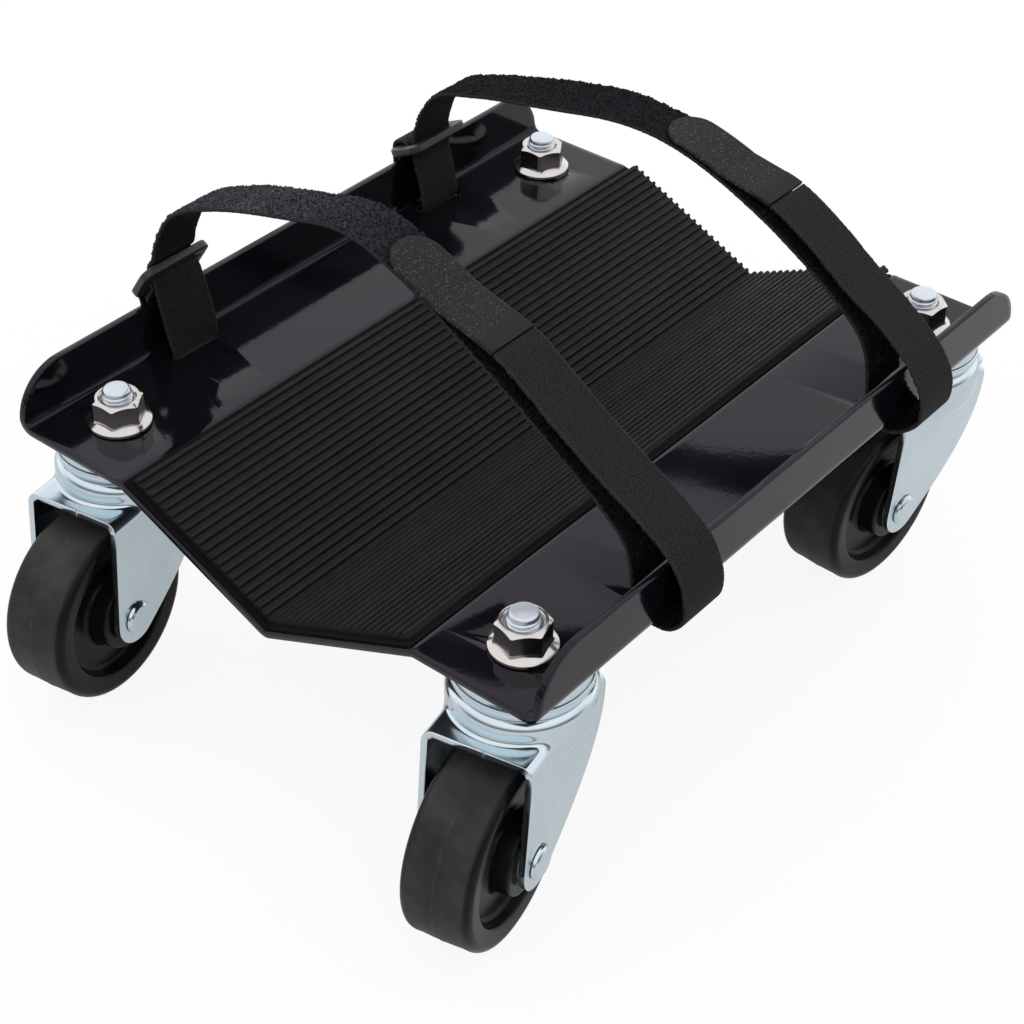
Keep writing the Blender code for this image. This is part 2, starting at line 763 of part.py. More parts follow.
def lower_race_profile():
    """Half section of the race washer between the bolt head and the crown."""
    top = DOME_TOP - FORK_SHEET - GAP
    return tube_profile(STUD_RADIUS + GAP, LOWER_RACE_RADIUS, top - LOWER_RACE_THICK, top)


def ball_groove(first, last):
    """Groove arc of a race, about the ball circle."""
    centre = (BALL_CIRCLE, (RACE_RING_TOP + TOP_RACE_LOW) / 2)
    return arc(centre, GROOVE_RADIUS, first, last, 3)


def top_race_profile():
    """Half section of the fixed upper race, with a ball groove underneath."""
    return [
        (STUD_RADIUS + GAP, TOP_RACE_TOP),
        (RACE_RADIUS - 0.0006, TOP_RACE_TOP),
        (RACE_RADIUS, TOP_RACE_LOW),
    ] + ball_groove(4, 176) + [(STUD_RADIUS + GAP, TOP_RACE_LOW)]


def race_ring_profile():
    """Half section of the turning race, with a ball groove on top."""
    inner = STUD_RADIUS + PIN_CLEARANCE
    groove = ball_groove(-176, -4)
    return [(inner, RACE_RING_TOP)] + groove + [
        (RACE_RING_RADIUS, RACE_RING_TOP),
        (RACE_RING_RADIUS - 0.0006, RACE_RING_LOW),
        (inner, RACE_RING_LOW),
    ]


def ball_cage_mesh():
    """A ring of balls held by the wire of their cage."""
    level = (RACE_RING_TOP + TOP_RACE_LOW) / 2
    wire = arc((BALL_CIRCLE, level), CAGE_RADIUS, 90, -150, 2)
    cage = add_object("cage", turned_mesh("cage", wire, BALL_COUNT), CUTTERS)
    balls = []
    for i in range(BALL_COUNT):
        angle = math.tau * i / BALL_COUNT
        place = Matrix.Translation((BALL_CIRCLE * math.cos(angle), BALL_CIRCLE * math.sin(angle), level))
        mesh = bpy.data.meshes.new("ball")
        work = bmesh.new()
        bmesh.ops.create_uvsphere(work, u_segments=6, v_segments=3, radius=BALL_RADIUS, matrix=place)
        work.to_mesh(mesh)
        work.free()
        balls.append(mesh)
    tool = cutter("balls", joined_mesh("balls", balls))
    boolean(cage, tool, "UNION")
    mesh = bake(cage, "ball_cage")
    bpy.data.objects.remove(tool, do_unlink=True)
    smooth(mesh, 60.0)
    return mesh


def leg_outline():
    """Side outline of the fork, as (distance behind the swivel axis, height)."""
    axle = (CASTER_OFFSET, AXLE_Z)
    end = arc(axle, LEG_END_RADIUS, 6, -123, 5)
    lean = math.radians(-123)
    handle_a = (end[-1][0] + math.sin(lean) * LEG_SWEEP, end[-1][1] - math.cos(lean) * LEG_SWEEP)
    handle_b = (-FORK_BACK - 0.0020, CROWN_TOP - 0.0290)
    rear = bezier(end[-1], handle_a, handle_b, (-FORK_BACK, CROWN_TOP - 0.0020), 4)
    return [(FORK_FRONT, CROWN_TOP + GAP)] + end + rear + [(-FORK_BACK, CROWN_TOP + GAP)]


def dome_profile():
    """Half section of the raised crown round its bolt hole, with a rolled shoulder."""
    hole = STUD_RADIUS + PIN_CLEARANCE
    centre = (DOME_RADIUS - DOME_SHOULDER, DOME_TOP - DOME_SHOULDER)
    shoulder = arc(centre, DOME_SHOULDER, 90, 0, 2)
    lip = CROWN_UNDER + FORK_SHEET * 0.4
    return [(hole, DOME_TOP)] + shoulder + [(DOME_RADIUS, lip), (hole, lip)]


def flare_profile():
    """Half section of the flare that carries the dome down into the legs."""
    top = CROWN_TOP + 0.0010
    return [
        (0.0, top),
        (DOME_RADIUS - 0.0003, top),
        (DOME_RADIUS - 0.0009, CROWN_TOP - 0.0040),
        (FORK_WIDTH / 2 + 0.0024, CROWN_TOP - FLARE_DROP * 0.6),
        (FORK_WIDTH / 2 - FORK_SHEET / 2, CROWN_TOP - FLARE_DROP),
        (0.0, CROWN_TOP - FLARE_DROP),
    ]


def fork_mesh():
    """The pressed fork: bent crown and legs, raised dome, side flares, axle and bolt holes."""
    half = FORK_WIDTH / 2
    inner_half = half - FORK_SHEET
    reach = FORK_FRONT + FORK_BACK + 2 * LEG_END_RADIUS
    low = AXLE_Z - 2 * LEG_END_RADIUS
    quarter = Matrix.Rotation(math.pi / 2, 4, "Z")

    def channel(name, half_width, top, bend):
        right = arc((half_width - bend, top - bend), bend, 0, 90, 2)
        outline = [(half_width, low)] + right + [(-x, z) for x, z in reversed(right)] + [(-half_width, low)]
        return prism_mesh(name, outline, 2 * reach)

    block = add_object("fork_block", channel("fork_outer", half, CROWN_TOP, FORK_BEND), CUTTERS)
    flare = cutter("fork_flare", turned_mesh("fork_flare", flare_profile(), DOME_SEGMENTS, closed=False))
    sides = prism_mesh("fork_sides", leg_outline(), 4 * half)
    sides.transform(Matrix.Rotation(-math.pi / 2, 4, "Z"))
    sides = cutter("fork_sides", sides)
    dome = cutter("fork_dome", turned_mesh("fork_dome", dome_profile(), DOME_SEGMENTS))
    inside = cutter("fork_inside", channel("fork_inner", inner_half, CROWN_UNDER, FORK_BEND - FORK_SHEET))
    hollow = DOME_RADIUS - FORK_SHEET
    roof = DOME_TOP - FORK_SHEET
    hollow_profile = [(0.0, roof), (hollow - 0.0012, roof)]
    hollow_profile += [(hollow, CROWN_UNDER + 0.0006), (min(hollow, inner_half) - 0.0004, CROWN_UNDER - 0.0010)]
    hollow_profile += [(0.0, CROWN_UNDER - 0.0010)]
    cavity = cutter("fork_cavity", turned_mesh("fork_cavity", hollow_profile, DOME_SEGMENTS, closed=False))
    axle = Matrix.Translation((0.0, -CASTER_OFFSET, AXLE_Z)) @ Matrix.Rotation(math.pi / 2, 4, "Y")
    axle = cylinder_mesh("fork_axle_hole", AXLE_RADIUS + GAP, 4 * half, TURN_SEGMENTS, axle)
    holes = cutter("fork_holes", axle)
    steps = ((flare, "UNION"), (sides, "INTERSECT"), (dome, "UNION"))
    steps += ((inside, "DIFFERENCE"), (cavity, "DIFFERENCE"), (holes, "DIFFERENCE"))
    for tool, operation in steps:
        boolean(block, tool, operation)
    mesh = bake(block, "fork")
    for tool, _ in steps:
        bpy.data.objects.remove(tool, do_unlink=True)
    smooth(mesh)
    return mesh


def nut_mesh():
    """Hexagon nut with a round flange and a chamfered top."""
    base = DECK_TOP + GAP
    top = base + NUT_HEIGHT
    corner = NUT_FLATS / 2 / math.cos(math.pi / 6)
    foot = base + NUT_FLANGE_EDGE / 2
    place = Matrix.Translation((0.0, 0.0, (foot + top) / 2))
    body = cylinder_mesh("nut_hexagon", corner, top - foot, 6, place)
    body = add_object("nut_body", body, CUTTERS)
    dress = [
        (0.0, top + GAP),
        (NUT_FLATS / 2 - 0.0004, top + GAP),
        (corner + 0.0002, top - 0.0012),
        (corner + 0.0002, base - GAP),
        (0.0, base - GAP),
    ]
    dress = cutter("nut_chamfer", turned_mesh("nut_chamfer", dress, RACE_SEGMENTS, closed=False))
    flange = [
        (0.0, base + NUT_FLANGE_HEIGHT),
        (NUT_FLATS / 2 - 0.0010, base + NUT_FLANGE_HEIGHT),
        (NUT_FLANGE_RADIUS, base + NUT_FLANGE_EDGE),
        (NUT_FLANGE_RADIUS, base),
        (0.0, base),
    ]
    flange = cutter("nut_flange", turned_mesh("nut_flange", flange, RACE_SEGMENTS, closed=False))
    bore = cylinder_mesh("nut_bore", STUD_RADIUS + GAP, 2 * NUT_HEIGHT, TURN_SEGMENTS, place)
    bore = cutter("nut_bore", bore)
    for tool, operation in ((dress, "INTERSECT"), (flange, "UNION"), (bore, "DIFFERENCE")):
        boolean(body, tool, operation)
    mesh = bake(body, "flange_nut")
    for tool in (dress, flange, bore):
        bpy.data.objects.remove(tool, do_unlink=True)
    smooth(mesh)
    return mesh


def caster_meshes():
    """The meshes that the four casters share."""
    sleeve_in = AXLE_RADIUS + GAP
    sleeve_out = sleeve_in + SLEEVE_WALL
    sleeve_end = FORK_WIDTH / 2 - FORK_SHEET - GAP
    bushing_in = sleeve_out + GAP
    bushing_end = sleeve_end - BOSS_END_GAP
    sleeve = tube_profile(sleeve_in, sleeve_out, -sleeve_end, sleeve_end)
    bushing = tube_profile(bushing_in, bushing_in + BUSHING_WALL, -bushing_end, bushing_end)
    return {
        "kingpin": turned_mesh("kingpin", kingpin_profile(), TURN_SEGMENTS, closed=False),
        "flange_nut": nut_mesh(),
        "top_race": turned_mesh("top_race", top_race_profile(), RACE_SEGMENTS),
        "lower_race": turned_mesh("lower_race", lower_race_profile(), TURN_SEGMENTS),
        "race_ring": turned_mesh("race_ring", race_ring_profile(), RACE_SEGMENTS),
        "ball_cage": ball_cage_mesh(),
        "fork": fork_mesh(),
        "axle_rivet": turned_mesh("axle_rivet", axle_profile(), TURN_SEGMENTS, closed=False),
        "axle_sleeve": turned_mesh("axle_sleeve", sleeve, TURN_SEGMENTS),
        "wheel": turned_mesh("wheel", wheel_profile(), WHEEL_SEGMENTS),
        "wheel_bushing": turned_mesh("wheel_bushing", bushing, TURN_SEGMENTS),
    }


def build_casters(parent, materials):
    """Four swivel casters, each on an empty at its swivel axis with another on its axle."""
    meshes = caster_meshes()
    finish = {
        "kingpin": "bright_zinc", "flange_nut": "bright_zinc", "top_race": "zinc",
        "lower_race": "zinc", "race_ring": "zinc", "ball_cage": "ball_steel", "fork": "zinc",
        "axle_rivet": "zinc", "axle_sleeve": "ball_steel", "wheel": "hard_rubber",
        "wheel_bushing": "ball_steel",
    }
    half_step = Matrix.Rotation(math.pi / WHEEL_SEGMENTS, 4, "Z")
    for name, side, end, angle in CASTERS:
        place = Matrix.Translation((side * BOLT_X, end * BOLT_Y, 0.0))
        fixed = add_object(f"{name}_bolt_axis", None, PARTS, parent, place)
        swivel = add_object(f"{name}_swivel_axis", None, PARTS, fixed, Matrix.Rotation(angle, 4, "Z"))
        axle_place = Matrix.Translation((0.0, -CASTER_OFFSET, AXLE_Z)) @ Matrix.Rotation(math.pi / 2, 4, "Y")
        axle = add_object(f"{name}_axle_axis", None, PARTS, swivel, axle_place)
        carriers = {
            fixed: ("kingpin", "flange_nut", "top_race", "lower_race"),
            swivel: ("race_ring", "ball_cage", "fork"),
            axle: ("axle_rivet", "axle_sleeve", "wheel", "wheel_bushing"),
        }
        for carrier, pieces in carriers.items():
            for piece in pieces:
                turned_half = half_step if piece == "wheel" else None
                add_piece(f"{name}_{piece}", meshes[piece], carrier, materials[finish[piece]], turned_half)


# Strap shapes. Ring is its tilt, and its lower bar's place beyond the flange's face and above the
# flange's edge. Leave points follow the strap past the upper bar, in shares of the bar's width.
# Left, right and over points are a distance in from the flange face and a height above the flat
# top, and crest points are from the middle. Lifts and the lap are distances along the first layer
# from the right slot.
FRONT_SHAPE = {
    "ring": (math.radians(34.0), 0.0020, 0.0050),
    "leave": [(0.32, 0.0006), (1.0, 0.0001)],
    "left": [(0.0066, 0.0495), (0.0176, 0.0670), (0.0420, 0.0798), (0.0800, 0.0912)],
    "crest": [(-0.0180, 0.0970)],
    "right": [(0.1160, 0.0878), (0.0690, 0.0612), (0.0290, 0.0345), (0.0168, 0.0225)],
    "over": (0.0130, 0.0368),
    "lifts": [(0.0410, 0.0098), (0.0630, 0.0082), (0.0880, 0.0090), (0.0985, 0.0092)],
    "lap": (0.1290, 0.1570),
    "bulge": 0.0092,
    "sag": 0.0016,
}
REAR_SHAPE = {
    "ring": (math.radians(65.0), 0.0003, 0.0043),
    "leave": [(0.24, 0.0022)],
    "left": [(0.0088, 0.0405), (0.0118, 0.0480), (0.0200, 0.0585), (0.0430, 0.0664), (0.0800, 0.0740)],
    "crest": [(-0.0090, 0.0808)],
    "right": [(0.1080, 0.0785), (0.0700, 0.0645), (0.0310, 0.0400), (0.0180, 0.0265)],
    "over": (0.0130, 0.0380),
    "lifts": [(0.0480, 0.0074), (0.0670, 0.0076), (0.0830, 0.0076), (0.0920, 0.0068)],
    "lap": (0.1130, 0.1450),
    "bulge": 0.0104,
    "sag": 0.0038,
}


def build():
    """Model the whole dolly."""
    root = add_object("dolly_axis", None, PARTS, matrix=Matrix.Translation((0.0, DECK_SHIFT, 0.0)))
    materials = {
        "zinc": new_material("zinc_plate", (0.70, 0.74, 0.76), 0.32, 1.0),
        "bright_zinc": new_material("bright_zinc", (0.80, 0.82, 0.84), 0.22, 1.0),
        "ball_steel": new_material("ball_steel", (0.56, 0.57, 0.58), 0.25, 1.0),
        "hard_rubber": new_material("hard_rubber", (0.022, 0.021, 0.021), 0.42),
    }
    gloss_black = new_material("gloss_black_paint", (0.012, 0.012, 0.013), 0.12)
    mat_rubber = new_material("ribbed_rubber", (0.018, 0.018, 0.019), 0.62)
    webbing = new_material("loop_webbing", (0.020, 0.020, 0.024), 0.90)
    hook_tape = new_material("hook_tape", (0.035, 0.035, 0.037), 0.80)
    ring_plastic = new_material("ring_plastic", (0.015, 0.015, 0.016), 0.45)
    build_deck(root, gloss_black)
    build_mat(root, mat_rubber)
    for name, end, shape in (("front", -1, FRONT_SHAPE), ("rear", 1, REAR_SHAPE)):
        build_strap(name, end, shape, root, webbing, hook_tape)
        build_ring(name, end, shape, root, ring_plastic)
    build_casters(root, materials)
    bpy.context.view_layer.update()


clear_scene()
PARTS = new_collection("trough_dolly")
CUTTERS = new_collection("cutters")
build()
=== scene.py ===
"""Visible pieces of a four-caster V-trough dolly, built round its fixed frame.

Each piece is a grid of points worked out with numpy: a section carried along a
path, a half section turned round an axis, or a shell solved along rays. Sizes
are in metres, +Z is up and the floor is at z = 0.
"""

import json
import math

import bpy
import numpy as np
from bpy.props import FloatProperty, FloatVectorProperty, IntProperty, PointerProperty
from mathutils import Matrix, Quaternion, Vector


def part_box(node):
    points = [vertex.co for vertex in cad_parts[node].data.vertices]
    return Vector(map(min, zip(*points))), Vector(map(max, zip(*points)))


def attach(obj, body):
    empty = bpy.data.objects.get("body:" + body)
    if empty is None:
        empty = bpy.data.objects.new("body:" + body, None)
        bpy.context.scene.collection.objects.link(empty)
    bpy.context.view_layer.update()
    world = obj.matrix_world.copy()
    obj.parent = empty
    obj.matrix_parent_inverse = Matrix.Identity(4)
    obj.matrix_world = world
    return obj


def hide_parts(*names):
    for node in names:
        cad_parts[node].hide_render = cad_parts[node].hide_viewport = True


bl_info = {
    "name": "Trough Dolly",
    "version": (1, 0, 0),
    "blender": (4, 5, 0),
    "location": "3D View > Sidebar > Dolly",
    "description": "Builds the visible pieces of a V-trough wheel dolly round its frame",
    "category": "Object",
}

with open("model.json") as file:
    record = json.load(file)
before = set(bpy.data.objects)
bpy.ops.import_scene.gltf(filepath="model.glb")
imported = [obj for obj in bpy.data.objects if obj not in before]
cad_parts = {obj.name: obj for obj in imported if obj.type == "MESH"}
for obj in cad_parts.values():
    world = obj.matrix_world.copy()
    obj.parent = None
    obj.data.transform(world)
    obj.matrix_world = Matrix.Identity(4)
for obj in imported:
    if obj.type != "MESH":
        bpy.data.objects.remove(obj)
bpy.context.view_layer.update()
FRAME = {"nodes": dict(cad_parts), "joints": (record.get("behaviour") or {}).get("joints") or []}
GAP = 0.0003            # between pieces that touch
STUD_ROOM = 0.0005      # between a stud and what turns or sits round it
ROUNDED_FROM = math.radians(50)     # sheet edges that turn by more than this are rounded
BAND_COLUMNS = 40       # points across each face of a strap
BAND_STEP = 0.00060     # between rows of points along a strap
HOOK_STEP = 0.00055     # between rows of points along a hook tape
WEBBING_SEED, HOOK_SEED = 11, 21
CASTER_NAMES = ("front_left", "front_right", "rear_left", "rear_right")
STRAP_ENDS = (("front", -1.0), ("rear", 1.0))
NUT_TURNS = {"front_left": 3.6, "front_right": 45.2, "rear_left": 4.0, "rear_right": 23.0}
CAMERA_PLACE = (0.44297937, -0.53985156, 0.60391867)
CAMERA_TURN = (0.84779473, 0.41011788, 0.14048845, 0.30546753)
CAMERA_SIDE = (0.634, -0.773, 0.0)
FLOOR_HALF, FLOOR_DROP = 6.0, 0.0002


def length(name, description, default):
    """A size in metres for a property group."""
    return FloatProperty(
        name=name, description=description, default=default, min=0.0, precision=5,
        subtype="DISTANCE", unit="LENGTH",
    )


def colour(name, description, default):
    """A linear colour for a property group."""
    return FloatVectorProperty(
        name=name, description=description, default=default, size=3, min=0.0, max=1.0,
        subtype="COLOR",
    )


def number(name, description, default, low=0.0):
    """A plain number for a property group."""
    return FloatProperty(name=name, description=description, default=default, min=low)


class DollyDeckSizes(bpy.types.PropertyGroup):
    """Sizes of the folded deck sheet and its mat."""

    sheet: length("Sheet", "Thickness of the deck sheet", 0.0030)
    flange_rise: length("Flange rise", "Flange edge above the flat top", 0.0220)
    flange_corner: length("Flange corner", "Corner radius at each flange end", 0.0215)
    trough_width: length("Trough width", "Between the trough's fold lines", 0.1450)
    trough_depth: length("Trough depth", "Depth of the V", 0.0330)
    fold_radius: length("Fold radius", "Inside radius of every fold", 0.0030)
    edge_round: length("Edge round", "Rounding of the painted edges", 0.0007)
    slot_inset: length("Slot inset", "Strap slot from the flange's outer face", 0.0115)
    slot_width: length("Slot width", "Width of each strap slot", 0.0060)
    slot_length: length("Slot length", "Length of each strap slot", 0.0250)
    mat_base: length("Mat base", "Mat thickness under the ribs", 0.0024)
    underlay: length("Underlay", "Thickness of the layer under the mat", 0.0010)
    rib_height: length("Rib height", "Height of the ribs", 0.0014)
    rib_width: length("Rib width", "Width of a rib at its foot", 0.0021)
    rib_pitch: length("Rib pitch", "Spacing of the ribs", 0.0037)
    ribs: IntProperty(name="Ribs", description="Ribs on each slope", default=20, min=1)
    mat_margin: length("Mat margin", "Underlay seen outside the last rib", 0.0030)
    mat_crease: length("Mat crease", "Plain band beside the trough's middle", 0.0016)
    mat_end: length("Mat end", "Mat short of the sheet, before its shift", 0.0010)
    mat_shift: length("Mat shift", "Mat laid towards the rear end", 0.0024)


class DollyStrapSizes(bpy.types.PropertyGroup):
    """Sizes of the cinch straps and their rings."""

    width: length("Width", "Width of the webbing", 0.0225)
    thick: length("Thickness", "Thickness of the webbing with its pile", 0.0018)
    end_inset: length("End inset", "Middle of a strap from the deck's end", 0.0790)
    hook_length: length("Hook tape", "Length of the hook tape", 0.0560)
    tail: length("Stitched tail", "Sewn end below the ring", 0.0120)
    pile: length("Pile", "Height of the loop pile", 0.0011)
    ring_length: length("Ring length", "Length of the ring along the flange", 0.0348)
    ring_room: length("Ring room", "Room beside each edge of the strap", 0.0018)
    ring_bar: length("Ring bar", "Width of the ring's bars", 0.0050)
    ring_thick: length("Ring thickness", "Thickness of the ring", 0.0032)
    ring_spacing: length("Ring spacing", "Between the middles of the bars", 0.0128)
    ring_corner: length("Ring corner", "Outer corner radius of the ring", 0.0045)


class DollyCasterSizes(bpy.types.PropertyGroup):
    """Sizes of the swivel casters and their bolts."""

    wheel_radius: length("Wheel radius", "Radius of the tread", 0.0381)
    wheel_width: length("Wheel width", "Width of the wheel", 0.0290)
    shoulder: length("Shoulder", "Rounding between tread and side", 0.0036)
    rim_radius: length("Rim radius", "Inner edge of the side face", 0.0285)
    web_half: length("Web", "Half thickness of the web", 0.0085)
    boss_radius: length("Boss radius", "Radius of the hub boss", 0.0150)
    boss_gap: length("Boss gap", "Hub boss to the fork leg", 0.0015)
    bore: length("Bore", "Radius of the hub bore", 0.0090)
    offset: length("Offset", "Axle behind the swivel axis", 0.0272)
    crown_gap: length("Crown gap", "Tread to the underside of the crown", 0.0083)
    fork_width: length("Fork width", "Over the outer faces of the legs", 0.0430)
    fork_sheet: length("Fork sheet", "Sheet thickness of the fork", 0.0025)
    fork_front: length("Fork front", "Crown's front edge from the swivel axis", 0.0330)
    fork_back: length("Fork back", "Rear edge of the legs at the crown", 0.0220)
    fork_bend: length("Fork bend", "Outside radius of the side bends", 0.0045)
    leg_end: length("Leg end", "Radius of the leg's round end", 0.0110)
    leg_sweep: length("Leg sweep", "Handle of the rear edge's lower curve", 0.0220)
    flare_drop: length("Flare drop", "Where the side flare dies out", 0.0190)
    dome_radius: length("Dome radius", "Radius of the raised crown", 0.0271)
    dome_rise: length("Dome rise", "Height of the raised crown", 0.0090)
    dome_shoulder: length("Dome shoulder", "Rolled edge of the raised crown", 0.0046)
    dome_fillet: length("Dome fillet", "Blend between dome and fork", 0.0026)
    race_radius: length("Race radius", "Radius of the fixed race", 0.0250)
    ring_radius: length("Race ring radius", "Radius of the turning race", 0.0256)
    stud_radius: length("Stud radius", "Thread radius of the stud", 0.0060)
    stud_rise: length("Stud rise", "Stud tip above the flat top", 0.0162)
    thread_pitch: length("Thread pitch", "Pitch of the stud's thread", 0.00175)
    nut_flats: length("Nut flats", "Nut across flats", 0.0180)
    nut_height: length("Nut height", "Height of the nut", 0.0118)
    nut_flange: length("Nut flange", "Radius of the nut's flange", 0.0125)
    axle_radius: length("Axle radius", "Radius of the axle rivet", 0.0050)
    axle_head: length("Axle head", "Radius of the rivet's heads", 0.0068)
    axle_head_thick: length("Axle head thickness", "Thickness of the heads", 0.0020)


class DollyFinishes(bpy.types.PropertyGroup):
    """Colours of the finishes."""

    paint: colour("Paint", "Gloss black powder coat", (0.0052, 0.0044, 0.0066))
    mat: colour("Mat", "Ribbed rubber", (0.0102, 0.0098, 0.0114))
    underlay: colour("Underlay", "Adhesive layer under the mat", (0.0045, 0.0045, 0.0045))
    # a near-black layer under the mat that also shows as a band beside it
    webbing: colour("Webbing", "Woven face of the straps", (0.0095, 0.0095, 0.0104))
    pile: colour("Pile", "Loop pile of the straps", (0.0115, 0.0108, 0.0135))
    hook: colour("Hook tape", "Back of the hook tape", (0.0128, 0.0128, 0.0142))
    ring: colour("Ring", "Moulded strap rings", (0.0290, 0.0290, 0.0315))
    zinc: colour("Zinc", "Zinc plate on the pressed parts", (0.625, 0.725, 0.785))
    bright: colour("Bright plate", "Plate on the nuts", (0.640, 0.625, 0.605))
    stud: colour("Stud", "Zinc plate on the studs", (0.640, 0.695, 0.770))
    steel: colour("Steel", "Plain steel inside the casters", (0.560, 0.570, 0.580))
    tyre: colour("Tyre", "Moulded hard rubber wheels", (0.0075, 0.0074, 0.0076))
    # painted light: the tread colour is a lighter grey that stands in for the light on the running
    # face
    tread: colour("Tread", "Dusty running face of the wheels", (0.0560, 0.0544, 0.0533))
    flash: colour("Flash line", "Mould line round the tread", (0.0900, 0.0660, 0.0480))


class DollyStage(bpy.types.PropertyGroup):
    """Camera, floor and light."""

    lens: number("Lens", "Focal length in millimetres", 76.3206, 1.0)
    shift_x: number("Shift X", "Sideways lens shift", -0.00813, -1.0)
    shift_y: number("Shift Y", "Upward lens shift", 0.00397, -1.0)
    room: number("Room", "Strength of the room's own light", 1.0)
    high: number("Overhead", "Share of the room's light from above", 1.12)
    far: number("Far side", "Share of the room's light behind the object", 1.28)
    near: number("Near side", "Share of the light low down on the camera's side", 0.22)
    white: number("White", "Share of plain white that the camera sees in the floor", 0.90)
    mirrored: number("Mirrored", "Share of plain white that metal sees in the floor", 0.52)
    floor: number("Floor", "Grey level of the floor", 0.55)
    backdrop: number("Backdrop", "Grey level of the floor as the camera sees it", 0.98)


def deck_place():
    """Half width, half length, middle in Y and flat top of the deck, from the frame's deck."""
    low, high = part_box("deck_plate")
    rise = bpy.context.scene.dolly_deck.flange_rise
    return (high.x - low.x) / 2, (high.y - low.y) / 2, (high.y + low.y) / 2, high.z - rise


def caster_places():
    """Name, swivel point, swivel angle and axle frame of each caster, from the frame's joints."""
    joints = {joint["name"]: joint for joint in FRAME["joints"]}
    for name in CASTER_NAMES:
        swivel, spin = joints[f"{name}_swivel"], joints[f"{name}_spin"]
        angle = math.atan2(spin["axis"][1], spin["axis"][0])
        turn = Matrix.Rotation(angle, 4, "Z") @ Matrix.Rotation(math.pi / 2, 4, "Y")
        yield name, swivel["pos_m"][:2], angle, Matrix.Translation(spin["pos_m"]) @ turn


def upright(point, angle):
    """A frame on the floor under a point in XY, turned about Z."""
    return Matrix.Translation((*point, 0.0)) @ Matrix.Rotation(angle, 4, "Z")


# Curves and sections


def arc(centre, radius, first, last, steps):
    """Points of a circle about the centre between two angles in degrees."""
    angle = np.radians(np.linspace(first, last, steps + 1))
    x, y = centre[0] + radius * np.cos(angle), centre[1] + radius * np.sin(angle)
    return np.column_stack((x, y))


def hole(centre, radius):
    """Outline of a round hole, a point at every 15 degrees."""
    return arc(centre, radius, 0, 345, 23)


def rounded_path(corners, radii, steps=5, ease=0.0003, closed=False):
    """Straight runs whose corners become tangent arcs, with a point just outside each arc."""
    corners = np.asarray(corners, float)
    count = len(corners)
    parts = []
    for i, corner in enumerate(corners):
        if radii[i] <= 0 or (not closed and i in (0, count - 1)):
            parts.append(corner[None])
            continue
        a, b = corners[i - 1] - corner, corners[(i + 1) % count] - corner
        run_a, run_b = np.hypot(*a), np.hypot(*b)
        a, b = a / run_a, b / run_b
        half = math.acos(np.clip(a @ b, -1, 1)) / 2
        reach = min(radii[i] / math.tan(half), 0.48 * run_a, 0.48 * run_b)
        radius = reach * math.tan(half)
        middle = (a + b) / np.hypot(*(a + b))
        centre = corner + middle * radius / math.sin(half)
        first, last = corner + a * reach - centre, corner + b * reach - centre
        start = math.atan2(first[1], first[0])
        turn = (math.atan2(last[1], last[0]) - start + math.pi) % math.tau - math.pi
        run = arc(centre, radius, math.degrees(start), math.degrees(start + turn), steps)
        room = 2.2 * reach + 3 * ease
        before = [corner + a * (reach + ease)] if run_a > room else []
        after = [corner + b * (reach + ease)] if run_b > room else []
        parts.append(np.vstack(before + [run] + after))
    return np.vstack(parts)


def curve_through(points, steps):
    """A centripetal Catmull-Rom curve: spans blend the lines through four neighbouring points."""
    points = np.asarray(points, float)
    chain = np.vstack((2 * points[0] - points[1], points, 2 * points[-1] - points[-2]))
    spans = [points[:1]]
    for p0, p1, p2, p3 in zip(chain, chain[1:], chain[2:], chain[3:]):
        gaps = [max(math.dist(*pair), 1e-9) ** 0.5 for pair in ((p0, p1), (p1, p2), (p2, p3))]
        t0, t1, t2, t3 = np.cumsum([0.0] + gaps)
        t = np.linspace(t1, t2, steps + 1)[1:, None]

        def mix(start, end, a, b):
            return (end - t) / (end - start) * a + (t - start) / (end - start) * b

        a1, a2, a3 = mix(t0, t1, p0, p1), mix(t1, t2, p1, p2), mix(t2, t3, p2, p3)
        spans.append(mix(t1, t2, mix(t0, t2, a1, a2), mix(t1, t3, a2, a3)))
    return np.vstack(spans)


def distances(path):
    """Distance of each point along a path."""
    return np.concatenate(([0.0], np.cumsum(np.hypot(*np.diff(path[:, :2], axis=0).T))))


def points_at(path, where):
    """The points of a path at the given distances along it."""
    along = distances(path)
    return np.column_stack([np.interp(where, along, column) for column in path.T])


def left_normals(path):
    """Unit vectors to the left of a path."""
    tangent = np.gradient(path[:, :2], axis=0)
    tangent /= np.hypot(*tangent.T)[:, None]
    return np.column_stack((-tangent[:, 1], tangent[:, 0]))


def smooth_step(t):
    """The cubic that runs from 0 to 1 with level ends."""
    t = np.clip(t, 0.0, 1.0)
    return t * t * (3 - 2 * t)


def end_steps(inner, count):
    """Even steps between -inner and inner, with one more to -1 and 1."""
    return np.concatenate(([-1.0], np.linspace(-inner, inner, count), [1.0]))


# Meshes


def quads(rows, cols, wrap_rows=False, wrap_cols=False):
    """Index quads of a grid of points, and the row and column of each of their corners."""
    r = np.arange(rows if wrap_rows else rows - 1)[:, None]
    c = np.arange(cols if wrap_cols else cols - 1)[None, :]
    corners = ((r, c), (r, c + 1), (r + 1, c + 1), (r + 1, c))
    index = np.stack([(i % rows) * cols + (j % cols) for i, j in corners], -1)
    steps = np.stack([np.stack(np.broadcast_arrays(i, j), -1) for i, j in corners], -2)
    return index.reshape(-1, 4), steps.reshape(-1, 4, 2)


